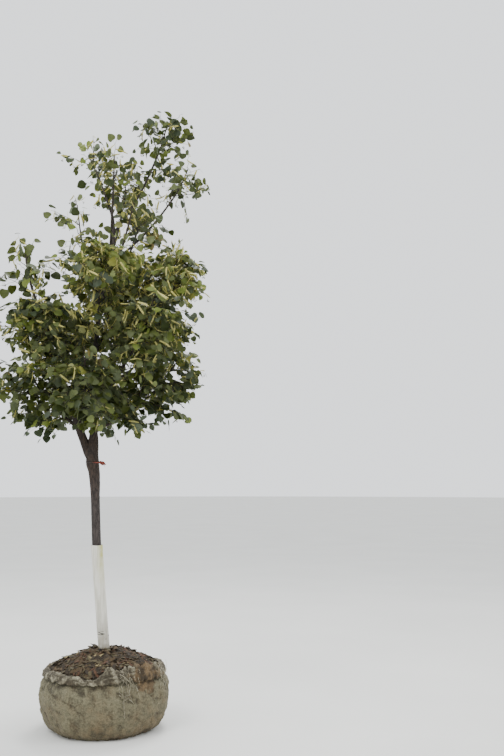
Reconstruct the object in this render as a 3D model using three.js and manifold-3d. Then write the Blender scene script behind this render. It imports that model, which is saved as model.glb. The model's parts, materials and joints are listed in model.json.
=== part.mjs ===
// A young nursery linden on its burlap root ball: trunk with a forked stem, tapering boughs, masses of
// foliage, a white trunk guard, a strip of flagging tape, and bark mulch on the soil.
// Millimetres, +Z up. The origin is the middle of the ball's flat underside, and -Y is the side first seen.
import * as THREE from 'three';
import { mergeVertices } from 'three/addons/utils/BufferGeometryUtils.js';
import Module from 'manifold-3d';

const wasm = await Module();
wasm.setup();

// Clearance between neighbouring pieces.
const GAP = 0.3;

// Root ball: a squat ball of soil in burlap, flat below, its top sloping up to the trunk.
const SOIL_TOP = 520;
const BALL_RADIUS = 455;
const BALL_FOOT_RADIUS = 340;
const BALL_SHOULDER = { radius: 413, height: 385 };
const BALL_SIDES = 24;
const BALL_LUMPS = [{ waves: 3, size: 0.022, turn: 0.6 }, { waves: 7, size: 0.012, turn: 1.9 }];

// Bark mulch spread over the soil, and the roll of burlap round its edge.
const MULCH_DEPTH = 26;
const MULCH_EDGE = 374;
const RIM_WIDTH = 62;
const RIM_RISE = 46;
// At the front right the roll is torn open: loose cloth and soil stand up there, with mulch piled behind them.
const HEAP = { middle: -50, half: 42, fade: 16, rise: 80, mulch: 45 };

// Trunk and leader: stations up the middle line, with height above the soil, offset from the foot, radius.
const TRUNK_STATIONS = [
  { height: 0, x: -3, y: 0, radius: 46 },
  { height: 26, x: -7, y: 0, radius: 35.4 },
  { height: 130, x: -18, y: 0, radius: 33.6 },
  { height: 420, x: -45, y: 1, radius: 33 },
  { height: 762, x: -75, y: 2, radius: 33 },
  { height: 1088, x: -91, y: 6, radius: 32.5 },
  { height: 1287, x: -103, y: 8, radius: 41 },
  { height: 1360, x: -117, y: 8, radius: 47.5 },
  { height: 1430, x: -119, y: 8, radius: 44.5 },
  { height: 1510, x: -114, y: 6, radius: 37.5 },
  { height: 1580, x: -112, y: 4, radius: 30.5 },
  { height: 1780, x: -109, y: -8, radius: 24 },
  { height: 2050, x: -125, y: -18, radius: 19.5 },
  { height: 2320, x: -95, y: -10, radius: 17 },
  { height: 2732, x: -39, y: 12, radius: 14.5 },
  { height: 3047, x: 10, y: 16, radius: 13 },
  { height: 3218, x: 0, y: 6, radius: 11.5 },
  { height: 3370, x: -52, y: 0, radius: 8 },
];
const TRUNK_SIDES = 10;
const LONGEST_TRUNK_RING = 230;

// Trunk guard: a slit sleeve of white plastic whose edges lap, wider at its open top.
const GUARD = {
  bottom: 30,
  top: 762,
  radiusBelow: 39,
  radiusAbove: 40.2,
  wall: 1.6,
  lapDegrees: 42,
  sides: 18,
};

// Flagging tape tied round the trunk under the fork.
const TAPE = {
  height: 1364,
  band: 12,
  width: 22,
  wall: 1.2,
  clearance: 2.4,
  tail: 46,
  // How far each tail leans out, and turns to the front, in radians.
  tails: [[1.25, -0.2], [0.8, 0.2]],
  sides: 7,
};

// The stem that leaves the fork to the left: it carries the low boughs whose azimuth is in this range.
const LEFT_STEM = { height: 1310, carries: [140, 225], radius: 36, tipRadius: 12.5, rings: 9 };
// Its path as shares of the way across and up to the middle of its mass.
const LEFT_STEM_PATH = [
  [0, 0],
  [0.008, 0.035],
  [0.075, 0.08],
  [0.182, 0.176],
  [0.27, 0.26],
  [0.41, 0.37],
  [0.6, 0.53],
  [0.71, 0.645],
  [0.86, 0.84],
  [1, 1],
  [1.05, 1.11],
];

// Foliage: tiers of round masses, each tier an arc of `count` masses about its own middle `x`, from azimuth
// `from` to azimuth `to`. The boughs of a tier leave their parent near the height `root`.
const TIERS = [
  { name: 'skirt', height: 1900, x: -85, ring: 450, mass: 370, count: 4, from: 180, to: 450, root: 1650 },
  { name: 'lower', height: 2290, x: -55, ring: 505, mass: 390, count: 4, from: 135, to: 405, root: 1820 },
  { name: 'crest', height: 2770, x: -625, ring: 0, mass: 300, count: 1, from: 180, to: 180, root: 1310 },
  { name: 'middle', height: 2740, x: 50, ring: 385, mass: 350, count: 3, from: -100, to: 100, root: 2180 },
  { name: 'upper', height: 3150, x: 30, ring: 275, mass: 295, count: 3, from: 180, to: 420, root: 2560 },
  { name: 'high', height: 3440, x: 200, ring: 305, mass: 285, count: 3, from: 0, to: 240, root: 2930 },
  { name: 'top', height: 3800, x: 375, ring: 0, mass: 275, count: 1, from: 0, to: 0, root: 3160 },
];
const LEADER_MASS = { height: 3625, x: -150, radius: 262 };
const ROOT_STAGGER = 62;
const HEIGHT_WOBBLE = 45;

// A bough's radius follows its length, and its root is a share of its parent's radius at most.
const BOUGH_TIP_RADIUS = 7.5;
const BOUGH_TAPER = 0.0135;
const BOUGH_ROOT_SHARE = 0.72;
const BOUGH_SIDES = 5;
const BOUGH_RINGS = 4;
// Where a bough bends, as shares of the way out and up to its mass, and how deep in that it ends, in radii.
const BOUGH_BEND = { out: 0.56, up: 0.34 };
const ENTRY_DEPTH = 0.2;

// Twigs and leaves. Each leaf stands for a spray, so it is larger than a real one.
const GOLDEN_TURN = THREE.MathUtils.degToRad(137.5);
// A stem goes on from its bough through the middle of the mass, turning upward, to `reach` radii past it.
const STEM = { radius: 12, tipRadius: 8, rings: 3, upward: 0.35, reach: [0.3, 0.6] };
// Twigs leave the stem from `first` to `last`, in shares of its length, and bear leaves at shares `sites`.
const TWIG = {
  perStem: 8,
  first: 0.1,
  last: 0.96,
  lean: 62,
  rootShare: 0.42,
  tipRadius: 3.2,
  lift: 0.1,
  shortest: 45,
  long: 110,
  sites: [0.4, 0.76],
  shortSites: [0.55],
  end: 0.96,
  leafLean: 0.45,
};
const LEAF = {
  length: 265,
  thickness: 7,
  sink: 0.6,
  sizes: 0.12,
  droop: 0.9,
  outward: 1.2,
  upward: 0.35,
  scatter: 0.6,
  tries: 24,
};
// The blade's outline as shares of its length, from the tip round to the stalk and back, and its thickest
// point.
const LEAF_OUTLINE = [[1, 0], [0.56, 0.41], [0.13, 0.36], [0, 0], [0.13, -0.36], [0.56, -0.41]];
const LEAF_THICKEST = 0.2;
const SEED = 41;

const COLOURS = {
  bark: 0x5a4c45,
  leaves: 0x4d5f2a,
  burlap: 0x8d8373,
  mulch: 0x4c352a,
  guard: 0xd9d8d2,
  tape: 0xd2492a,
};

const UP = new THREE.Vector3(0, 0, 1);
const RIGHT = new THREE.Vector3(1, 0, 0);
const BACK = new THREE.Vector3(0, 1, 0);
const tree = new THREE.Group();

// Random numbers in 0 to 1 that are the same on each run.
function seeded(seed) {
  let state = seed;
  return () => {
    state = (state + 0x6d2b79f5) | 0;
    let mixed = Math.imul(state ^ (state >>> 15), 1 | state);
    mixed = (mixed + Math.imul(mixed ^ (mixed >>> 7), 61 | mixed)) ^ mixed;
    return ((mixed ^ (mixed >>> 14)) >>> 0) / 4294967296;
  };
}

function mix(a, b, share) {
  return a + (b - a) * share;
}

// A closed three.js geometry as a solid that can be joined and cut.
function solidOf(geometry) {
  const bare = geometry.clone();
  bare.deleteAttribute('normal');
  bare.deleteAttribute('uv');
  const merged = mergeVertices(bare, 1e-4);
  const corners = [];
  const index = merged.index.array;
  for (let i = 0; i < index.length; i += 3) {
    const [a, b, c] = [index[i], index[i + 1], index[i + 2]];
    if (a !== b && b !== c && c !== a) corners.push(a, b, c);
  }
  return new wasm.Manifold(new wasm.Mesh({
    numProp: 3,
    vertProperties: new Float32Array(merged.attributes.position.array),
    triVerts: new Uint32Array(corners),
  }));
}

function geometryOf(solid) {
  const mesh = solid.getMesh();
  const geometry = new THREE.BufferGeometry();
  geometry.setAttribute('position', new THREE.BufferAttribute(new Float32Array(mesh.vertProperties), 3));
  geometry.setIndex(new THREE.BufferAttribute(new Uint32Array(mesh.triVerts), 1));
  geometry.computeVertexNormals();
  return geometry;
}

// The largest body of a solid, without the scraps that a cut may leave.
function largestBody(solid) {
  return solid.decompose().reduce((most, body) => (body.volume() > most.volume() ? body : most));
}

function addNode(name, solid, colour, roughness) {
  const material = new THREE.MeshStandardMaterial({ color: colour, roughness, metalness: 0 });
  const mesh = new THREE.Mesh(geometryOf(solid), material);
  mesh.name = name;
  tree.add(mesh);
}

// Moves each vertex of a geometry to where place(vertex) puts it.
function reshape(geometry, place) {
  const position = geometry.attributes.position;
  const vertex = new THREE.Vector3();
  for (let i = 0; i < position.count; i += 1) {
    vertex.fromBufferAttribute(position, i);
    const moved = place(vertex);
    position.setXYZ(i, moved.x, moved.y, moved.z);
  }
  return geometry;
}

// A closed tube with a ring at each share of curve's length in `shares`, of the radius radiusAt(share).
function tube({ curve, shares, radiusAt, sides, side }) {
  const corners = Array.from({ length: sides }, (_, corner) => {
    const angle = (2 * Math.PI * corner) / sides;
    return new THREE.Vector2(Math.cos(angle), Math.sin(angle));
  });
  const steps = shares.length - 1;
  const prism = new THREE.ExtrudeGeometry(new THREE.Shape(corners), { depth: 1, steps, bevelEnabled: false });
  return reshape(prism, (vertex) => {
    const share = shares[Math.round(vertex.z * steps)];
    const along = curve.getTangentAt(share);
    const across = side.clone().addScaledVector(along, -side.dot(along)).normalize();
    const third = along.clone().cross(across);
    const radius = radiusAt(share);
    return curve.getPointAt(share)
      .addScaledVector(across, vertex.x * radius)
      .addScaledVector(third, vertex.y * radius);
  });
}

function evenShares(from, to, steps) {
  return Array.from({ length: steps + 1 }, (_, step) => mix(from, to, step / steps));
}

function curveThrough(points) {
  return new THREE.CatmullRomCurve3(points, false, 'centripetal');
}

// Trunk
const trunkCurve = curveThrough(
  TRUNK_STATIONS.map(({ height, x, y }) => new THREE.Vector3(x, y, SOIL_TOP + height)),
);

function trunkRadiusAtHeight(height) {
  const above = TRUNK_STATIONS.findIndex((station) => station.height >= height);
  if (above < 0) return TRUNK_STATIONS.at(-1).radius;
  if (above === 0) return TRUNK_STATIONS[0].radius;
  const [low, high] = [TRUNK_STATIONS[above - 1], TRUNK_STATIONS[above]];
  return mix(low.radius, high.radius, (height - low.height) / (high.height - low.height));
}

// The share of a curve's length at which it reaches a height above the soil.
function shareAtHeight(curve, height) {
  let [low, high] = [0, 1];
  for (let step = 0; step < 24; step += 1) {
    const middle = (low + high) / 2;
    if (curve.getPointAt(middle).z - SOIL_TOP < height) low = middle;
    else high = middle;
  }
  return (low + high) / 2;
}

// Rings at the stations, with more between stations that are far apart.
function trunkShares() {
  const heights = [0];
  TRUNK_STATIONS.slice(1).forEach(({ height }, place) => {
    const below = TRUNK_STATIONS[place].height;
    const steps = Math.ceil((height - below) / LONGEST_TRUNK_RING);
    for (let step = 1; step <= steps; step += 1) heights.push(mix(below, height, step / steps));
  });
  return heights.map((height) => (height ? shareAtHeight(trunkCurve, height) : 0));
}

const trunkLimb = {
  curve: trunkCurve,
  radiusAt: (share) => trunkRadiusAtHeight(trunkCurve.getPointAt(share).z - SOIL_TOP),
};

function trunkSolid(extra) {
  const { curve, radiusAt } = trunkLimb;
  const shares = trunkShares();
  const shape = tube({
    curve,
    shares,
    radiusAt: (share) => radiusAt(share) + extra,
    sides: TRUNK_SIDES,
    side: RIGHT,
  });
  // The lowest ring lies flat on the soil.
  const belowSecondRing = mix(curve.getPointAt(0).z, curve.getPointAt(shares[1]).z, 0.5);
  return solidOf(reshape(shape, (vertex) => (vertex.z < belowSecondRing ? vertex.setZ(SOIL_TOP) : vertex)));
}

// Masses of foliage: a sphere each, kept apart by the plane through the circle where two spheres meet.
function planMasses() {
  const random = seeded(SEED);
  const planned = [];
  for (const tier of TIERS) {
    for (let place = 0; place < tier.count; place += 1) {
      const azimuth = tier.count > 1 ? mix(tier.from, tier.to, place / (tier.count - 1)) : tier.from;
      const angle = THREE.MathUtils.degToRad(azimuth);
      const wobble = tier.ring ? HEIGHT_WOBBLE * (2 * random() - 1) : 0;
      planned.push({
        name: tier.count > 1 ? `${tier.name}_${place + 1}` : tier.name,
        centre: new THREE.Vector3(
          tier.x + tier.ring * Math.cos(angle),
          tier.ring * Math.sin(angle),
          SOIL_TOP + tier.height + wobble,
        ),
        radius: tier.mass,
        azimuth: ((azimuth % 360) + 360) % 360,
        rootHeight: tier.root + (place % 2 ? ROOT_STAGGER : -ROOT_STAGGER) + wobble,
        tier: tier.name,
      });
    }
  }
  return planned;
}

const masses = planMasses();
const leaderMass = {
  name: 'leader',
  centre: new THREE.Vector3(LEADER_MASS.x, 0, SOIL_TOP + LEADER_MASS.height),
  radius: LEADER_MASS.radius,
};
const spaces = [...masses, leaderMass];

// How far a point lies inside a mass's own space; below 0 it is outside.
function depthInSpace(mass, point) {
  const own = point.distanceToSquared(mass.centre) - mass.radius ** 2;
  let depth = mass.radius - point.distanceTo(mass.centre);
  for (const other of spaces) {
    if (other !== mass) {
      const theirs = point.distanceToSquared(other.centre) - other.radius ** 2;
      depth = Math.min(depth, (theirs - own) / (2 * mass.centre.distanceTo(other.centre)));
    }
  }
  return depth;
}

// The share of a limb's curve at which it is well inside its mass's space.
function entryShare(curve, mass) {
  const wanted = mass.radius * ENTRY_DEPTH;
  for (let share = 0.06; share < 0.9; share += 0.01) {
    if (depthInSpace(mass, curve.getPointAt(share)) > wanted) return share;
  }
  throw new Error(`${mass.name}: its limb never enters its space`);
}

// A bough's curve leaves its parent low and turns up through the middle of its mass, as the mass's stem.
function boughCurve(root, mass) {
  const out = mass.centre.clone().sub(root);
  const bend = new THREE.Vector3(BOUGH_BEND.out, BOUGH_BEND.out, BOUGH_BEND.up).multiply(out).add(root);
  const arc = new THREE.QuadraticBezierCurve3(root, bend, mass.centre);
  const onward = arc.getTangent(1).addScaledVector(UP, STEM.upward).normalize();
  const stem = STEM.reach.map((radii) => mass.centre.clone().addScaledVector(onward, mass.radius * radii));
  return curveThrough([...arc.getPoints(6), ...stem]);
}

// A limb that enters its mass at `entry` and tapers up to there from its root.
function limbAlong({ curve, side, mass, parent, rootRadius, tipRadius, rings = BOUGH_RINGS }) {
  const entry = entryShare(curve, mass);
  const radiusAt = (share) => mix(rootRadius, tipRadius, Math.min(1, share / entry));
  return { curve, side, entry, length: curve.getLength(), radiusAt, parent, rings };
}

function planBough(mass, parent) {
  const rootShare = shareAtHeight(parent.curve, mass.rootHeight);
  const root = parent.curve.getPointAt(rootShare);
  const curve = boughCurve(root, mass);
  const grown = BOUGH_TIP_RADIUS + BOUGH_TAPER * curve.getLength();
  return limbAlong({
    curve,
    side: UP.clone().cross(mass.centre.clone().sub(root)).normalize(),
    mass,
    parent,
    rootRadius: Math.min(grown, parent.radiusAt(rootShare) * BOUGH_ROOT_SHARE),
    tipRadius: BOUGH_TIP_RADIUS,
  });
}

// The left stem swings out of the fork, then climbs to the crest mass.
function planLeftStem(mass) {
  const root = trunkCurve.getPointAt(shareAtHeight(trunkCurve, LEFT_STEM.height));
  const points = LEFT_STEM_PATH.map(([across, up]) => new THREE.Vector3(
    mix(root.x, mass.centre.x, across),
    mix(root.y, mass.centre.y, across),
    mix(root.z, mass.centre.z, up),
  ));
  return limbAlong({
    curve: curveThrough(points),
    side: BACK,
    mass,
    parent: trunkLimb,
    rootRadius: LEFT_STEM.radius,
    tipRadius: LEFT_STEM.tipRadius,
    rings: LEFT_STEM.rings,
  });
}

const crestMass = masses.find((mass) => mass.tier === 'crest');
const leftStem = planLeftStem(crestMass);

// The low boughs on the left leave the left stem, and all others leave the trunk.
function parentOf(mass) {
  const low = mass.tier === 'skirt' || mass.tier === 'lower';
  const onLeft = mass.azimuth >= LEFT_STEM.carries[0] && mass.azimuth <= LEFT_STEM.carries[1];
  return low && onLeft ? leftStem : trunkLimb;
}

for (const mass of masses) {
  mass.limb = mass === crestMass ? leftStem : planBough(mass, parentOf(mass));
}

// The leader mass stands on the trunk's tip, and its stem goes on the way the trunk points.
const trunkTip = trunkCurve.getPointAt(1);
const leaderCurve = curveThrough([
  trunkTip,
  trunkTip.clone().addScaledVector(trunkCurve.getTangentAt(1), leaderMass.centre.distanceTo(trunkTip) / 2),
  leaderMass.centre.clone(),
  leaderMass.centre.clone().addScaledVector(UP, leaderMass.radius * 0.56),
]);
leaderMass.limb = { curve: leaderCurve, side: BACK, entry: 0, length: leaderCurve.getLength() };

function limbSolid(limb, extra) {
  return solidOf(tube({
    curve: limb.curve,
    shares: evenShares(0, limb.entry, limb.rings),
    radiusAt: (share) => limb.radiusAt(share) + extra,
    sides: BOUGH_SIDES,
    side: limb.side,
  }));
}

const limbSolids = new Map([['trunk', trunkSolid(0)]]);
for (const mass of masses) {
  let solid = limbSolid(mass.limb, 0).subtract(trunkSolid(GAP));
  if (mass.limb.parent === leftStem) solid = solid.subtract(limbSolid(leftStem, GAP));
  limbSolids.set(mass === crestMass ? 'left_stem' : `bough_${mass.name}`, largestBody(solid));
}

// All limbs, grown by the clearance, that no twig or leaf may touch.
const limbsToMiss = wasm.Manifold.union([
  trunkSolid(GAP + 1),
  ...masses.map((mass) => limbSolid(mass.limb, GAP + 1)),
]);

function meets(solid, others) {
  return others.some((other) => !other.intersect(solid).isEmpty());
}

// A thin blade along +X from its stalk: two low six-sided pyramids base to base, with its upper side to +Y.
function leafGeometry(length) {
  const blade = new THREE.SphereGeometry(1, LEAF_OUTLINE.length, 2);
  return reshape(blade, (vertex) => {
    if (Math.abs(vertex.y) > 0.5) {
      return vertex.set(LEAF_THICKEST * length, Math.sign(vertex.y) * LEAF.thickness * 0.5, 0);
    }
    const turn = Math.atan2(vertex.z, vertex.x) / (2 * Math.PI);
    const [x, z] = LEAF_OUTLINE[Math.round((turn + 1) * LEAF_OUTLINE.length) % LEAF_OUTLINE.length];
    return vertex.set(x * length - LEAF.sink, 0, z * length);
  });
}

function insideSpace(mass, geometry) {
  const position = geometry.attributes.position;
  const vertex = new THREE.Vector3();
  for (let i = 0; i < position.count; i += 1) {
    if (depthInSpace(mass, vertex.fromBufferAttribute(position, i)) < GAP * 2) return false;
  }
  return true;
}

function randomVector(random, size) {
  return new THREE.Vector3(random() - 0.5, random() - 0.5, random() - 0.5).multiplyScalar(2 * size);
}

// A leaf at point that points along `along`, drooping, with its face up and out. It may touch nothing in
// `others`, and it is null where there is no room.
function leafAt(mass, point, along, random, others) {
  const outward = point.clone().sub(mass.centre).normalize();
  for (let attempt = 0; attempt < LEAF.tries; attempt += 1) {
    const tipward = along.clone()
      .addScaledVector(UP, -LEAF.droop * (0.4 + random()))
      .add(randomVector(random, 0.2 + 0.1 * attempt))
      .normalize();
    const facing = randomVector(random, LEAF.scatter)
      .addScaledVector(UP, LEAF.upward)
      .addScaledVector(outward, LEAF.outward);
    facing.addScaledVector(tipward, -facing.dot(tipward)).normalize();
    const length = LEAF.length * (1 + LEAF.sizes * (2 * random() - 1)) * (attempt > 12 ? 0.8 : 1);
    const place = new THREE.Matrix4()
      .makeBasis(tipward, facing, tipward.clone().cross(facing))
      .setPosition(point);
    const geometry = leafGeometry(length).applyMatrix4(place);
    if (insideSpace(mass, geometry)) {
      const solid = solidOf(geometry);
      if (!meets(solid, others) && !meets(solid, [limbsToMiss])) return solid;
    }
  }
  return null;
}

// How long a straight twig from point along `along` can be before the blade at its tip would leave the space.
function twigLength(mass, point, along) {
  let reach = 0;
  while (depthInSpace(mass, point.clone().addScaledVector(along, reach + 10)) > 4) reach += 10;
  return reach - LEAF.length * 0.6;
}

function twigSolid(from, to, rootRadius) {
  const along = to.clone().sub(from).normalize();
  return solidOf(tube({
    curve: new THREE.LineCurve3(from, to),
    shares: [0, 1],
    radiusAt: (share) => mix(rootRadius, TWIG.tipRadius, share),
    sides: 3,
    side: Math.abs(along.z) < 0.9 ? UP : RIGHT,
  }));
}

// One mass: a stem on its bough's tip, twigs that leave it a golden turn apart, and leaves on either side
// of each twig.
function massSolid(mass, seed) {
  const random = seeded(seed);
  const { curve, side, entry, length } = mass.limb;
  const start = entry + GAP / length;
  const stemRadiusAt = (share) => mix(STEM.radius, STEM.tipRadius, (share - start) / (1 - start));
  const stem = solidOf(tube({
    curve,
    shares: evenShares(start, 1, STEM.rings),
    radiusAt: stemRadiusAt,
    sides: 3,
    side,
  }));
  const wood = [stem];
  const buds = [{ holder: stem, point: curve.getPointAt(0.99), along: curve.getTangentAt(1) }];
  for (let place = 0; place < TWIG.perStem; place += 1) {
    const share = mix(start, 1, mix(TWIG.first, TWIG.last, place / (TWIG.perStem - 1)));
    const root = curve.getPointAt(share);
    const axis = curve.getTangentAt(share);
    const across = side.clone().applyAxisAngle(axis, GOLDEN_TURN * place + seed);
    const lean = THREE.MathUtils.degToRad(TWIG.lean * (0.85 + 0.3 * random()));
    const along = axis.clone().multiplyScalar(Math.cos(lean))
      .addScaledVector(across, Math.sin(lean)).addScaledVector(UP, TWIG.lift).normalize();
    const reach = twigLength(mass, root, along);
    if (reach < TWIG.shortest) {
      buds.push({ holder: stem, point: root, along });
      continue;
    }
    const tip = root.clone().addScaledVector(along, reach);
    const twig = twigSolid(root, tip, stemRadiusAt(share) * TWIG.rootShare);
    if (meets(twig, [limbsToMiss, ...wood.slice(1)])) continue;
    wood.push(twig);
    const sideways = along.clone().cross(UP).normalize();
    buds.push({ holder: twig, point: root.clone().lerp(tip, TWIG.end), along });
    const sites = reach > TWIG.long ? TWIG.sites : TWIG.shortSites;
    sites.forEach((where, turn) => {
      const leafward = sideways.clone().multiplyScalar(turn % 2 ? 1 : -1)
        .addScaledVector(along, TWIG.leafLean).normalize();
      buds.push({ holder: twig, point: root.clone().lerp(tip, where), along: leafward });
    });
  }
  const leaves = [];
  for (const { holder, point, along } of buds) {
    const others = [...wood.filter((piece) => piece !== holder), ...leaves];
    const leaf = leafAt(mass, point, along, random, others);
    if (leaf) leaves.push(leaf);
  }
  return largestBody(wasm.Manifold.union([...wood, ...leaves]));
}

// Root ball
function lumpsAt(angle) {
  return BALL_LUMPS.reduce((sum, { waves, size, turn }) => sum + size * Math.cos(waves * angle + turn), 0);
}

// How far the heap has risen at an angle about the trunk, from 0 to 1.
function heapAt(angle) {
  const off = Math.abs(THREE.MathUtils.radToDeg(angle) - HEAP.middle);
  return 1 - THREE.MathUtils.smoothstep(off, HEAP.half - HEAP.fade, HEAP.half);
}

// A profile of [radius, height] points spun about +Z, with lumps as far as lumpyAt(radius, height) says.
function spun(profile, lumpyAt = () => 0) {
  const points = profile.map(([radius, height]) => new THREE.Vector2(radius, height));
  const lathe = new THREE.LatheGeometry(points, BALL_SIDES).rotateX(Math.PI / 2);
  return reshape(lathe, (vertex) => {
    const lumpy = lumpyAt(Math.hypot(vertex.x, vertex.y), vertex.z);
    const swell = 1 + lumpsAt(Math.atan2(vertex.y, vertex.x)) * lumpy;
    return vertex.set(vertex.x * swell, vertex.y * swell, vertex.z);
  });
}

// The slope of the soil from the trunk's foot out to the shoulder.
const SOIL_SLOPE = [
  [80, SOIL_TOP - GAP],
  [120, SOIL_TOP - 14],
  [250, SOIL_TOP - 62],
  [362, BALL_SHOULDER.height + 22],
];

function ballSolid() {
  const { smoothstep } = THREE.MathUtils;
  const sides = (radius, height) => (
    smoothstep(height, 0, 60) * (1 - smoothstep(height, 330, BALL_SHOULDER.height))
  );
  return solidOf(spun([
    [0, 0],
    [BALL_FOOT_RADIUS, 0],
    [BALL_FOOT_RADIUS + 62, 48],
    [BALL_RADIUS - 12, 140],
    [BALL_RADIUS, 240],
    [BALL_RADIUS - 10, 325],
    [BALL_SHOULDER.radius, BALL_SHOULDER.height],
    ...SOIL_SLOPE.toReversed(),
    [0, SOIL_TOP - GAP],
  ], sides));
}

// Mulch: a lumpy layer that follows the soil, with a hole round the trunk's flare.
function mulchSolid() {
  const hole = TRUNK_STATIONS[0].radius + 5;
  const layer = spun([
    [hole, SOIL_TOP],
    ...SOIL_SLOPE.map(([radius, height]) => [radius, height + GAP]),
    [MULCH_EDGE, BALL_SHOULDER.height + 36],
    [MULCH_EDGE - 34, BALL_SHOULDER.height + 56],
    [230, SOIL_TOP - 56 + MULCH_DEPTH],
    [120, SOIL_TOP - 12 + MULCH_DEPTH],
    [hole, SOIL_TOP + 6],
    [hole, SOIL_TOP],
  ]);
  return solidOf(reshape(layer, (vertex) => {
    const radius = Math.hypot(vertex.x, vertex.y);
    const onTop = vertex.z > mix(SOIL_TOP, BALL_SHOULDER.height + 22, (radius - 90) / 272) + 12;
    const angle = Math.atan2(vertex.y, vertex.x);
    const wave = 7 * Math.sin(5 * angle + radius / 60);
    const pile = radius > 300 ? HEAP.mulch * heapAt(angle) : 0;
    return onTop ? vertex.setZ(vertex.z + wave + pile) : vertex;
  }));
}

// The burlap's top edge, rolled back on the shoulder round the mulch in a loose, uneven roll.
function rimSolid() {
  const inner = MULCH_EDGE + 5;
  const foot = BALL_SHOULDER.height;
  const roll = spun([
    [inner, foot + 16],
    [BALL_SHOULDER.radius, foot + 0.7],
    [inner + RIM_WIDTH * 0.88, foot - 12],
    [inner + RIM_WIDTH, foot + 8],
    [inner + RIM_WIDTH * 0.78, foot + RIM_RISE * 0.76],
    [inner + RIM_WIDTH * 0.34, foot + RIM_RISE],
    [inner + 1, foot + RIM_RISE * 0.84],
    [inner, foot + 16],
  ], (radius) => 0.5 * THREE.MathUtils.smoothstep(radius, BALL_SHOULDER.radius, inner + RIM_WIDTH * 0.88));
  return solidOf(reshape(roll, (vertex) => {
    const angle = Math.atan2(vertex.y, vertex.x);
    const slump = 6 * Math.sin(2 * angle + 0.7) + 4 * Math.sin(5 * angle);
    const stretched = foot + (vertex.z - foot) * (1 + (HEAP.rise / RIM_RISE) * heapAt(angle));
    return vertex.z > foot + 20 ? vertex.setZ(stretched + slump) : vertex;
  }));
}

// Guard: a spiral band whose outer edge laps over its inner one, leaning with the trunk.
function guardSolid() {
  const { bottom, top, radiusBelow, radiusAbove, wall, lapDegrees, sides } = GUARD;
  const sweep = 2 * Math.PI + THREE.MathUtils.degToRad(lapDegrees);
  const growth = (wall + GAP * 2) / (2 * Math.PI);
  const inner = [];
  const outer = [];
  for (let step = 0; step <= sides; step += 1) {
    const angle = (sweep * step) / sides;
    const radius = 1 + (growth * angle) / radiusBelow;
    inner.push(new THREE.Vector2(radius * Math.cos(angle), radius * Math.sin(angle)));
    const outside = radius + wall / radiusBelow;
    outer.unshift(new THREE.Vector2(outside * Math.cos(angle), outside * Math.sin(angle)));
  }
  const section = new THREE.Shape([...inner, ...outer]);
  const sleeve = new THREE.ExtrudeGeometry(section, { depth: 1, steps: 3, bevelEnabled: false });
  return solidOf(reshape(sleeve, (vertex) => {
    const height = mix(bottom, top, vertex.z);
    const middle = trunkCurve.getPointAt(shareAtHeight(trunkCurve, height));
    const radius = mix(radiusBelow, radiusAbove, vertex.z);
    return new THREE.Vector3(middle.x + vertex.x * radius, middle.y + vertex.y * radius, SOIL_TOP + height);
  }));
}

// Tape: a narrow band round the trunk, a knot at its right, and two tails that stand out from the knot.
function tapeSolid() {
  const { height, band, width, wall, clearance, tail, tails, sides } = TAPE;
  const middle = trunkCurve.getPointAt(shareAtHeight(trunkCurve, height));
  const radius = trunkRadiusAtHeight(height) + clearance;
  const section = new THREE.Shape().absarc(0, 0, radius + wall, 0, 2 * Math.PI);
  section.holes.push(new THREE.Path().absarc(0, 0, radius, 0, 2 * Math.PI));
  const ring = new THREE.ExtrudeGeometry(section, { depth: band, bevelEnabled: false, curveSegments: sides });
  ring.translate(middle.x, middle.y, middle.z - band / 2);
  const knot = new THREE.SphereGeometry(9, 6, 4).scale(1, 0.8, 1.1);
  knot.translate(middle.x + radius + 8, middle.y, middle.z);
  const strips = tails.map(([lean, turn]) => {
    const strip = new THREE.BoxGeometry(wall * 2, width * 0.8, tail);
    strip.translate(0, 0, -tail / 2).rotateY(-lean).rotateX(turn);
    return solidOf(strip.translate(middle.x + radius + 9, middle.y, middle.z + 3));
  });
  return wasm.Manifold.union([solidOf(ring), solidOf(knot), ...strips]);
}

addNode('root_ball', ballSolid(), COLOURS.burlap, 0.95);
addNode('bark_mulch', mulchSolid(), COLOURS.mulch, 0.95);
addNode('burlap_rim', rimSolid(), COLOURS.burlap, 0.95);
for (const [name, solid] of limbSolids) addNode(name, solid, COLOURS.bark, 0.85);
spaces.forEach((mass, place) => {
  addNode(`foliage_${mass.name}`, massSolid(mass, SEED + 1 + place), COLOURS.leaves, 0.55);
});
addNode('trunk_guard', guardSolid(), COLOURS.guard, 0.5);
addNode('flag_tape', tapeSolid(), COLOURS.tape, 0.5);

export default tree;
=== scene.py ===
"""A young nursery linden on its burlap root ball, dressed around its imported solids.

The trunk leans a little to the left, forks a metre and a half up, and carries tiers of boughs. Each bough
ends in a mass of twigs, heart-shaped leaves, pale strap bracts and small round nutlets. Sizes are in
metres, +Z is up, and the side first seen faces -Y.
"""
import json
import logging
import math
from collections.abc import Callable, Iterator, Sequence
from dataclasses import dataclass, field
from enum import Enum

import bmesh
import bpy
import numpy as np
from bmesh.types import BMEdge, BMesh, BMVert
from bpy.types import Material, Mesh, Node, NodeSocket, Object
from mathutils import Matrix, Vector, kdtree, noise

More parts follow.
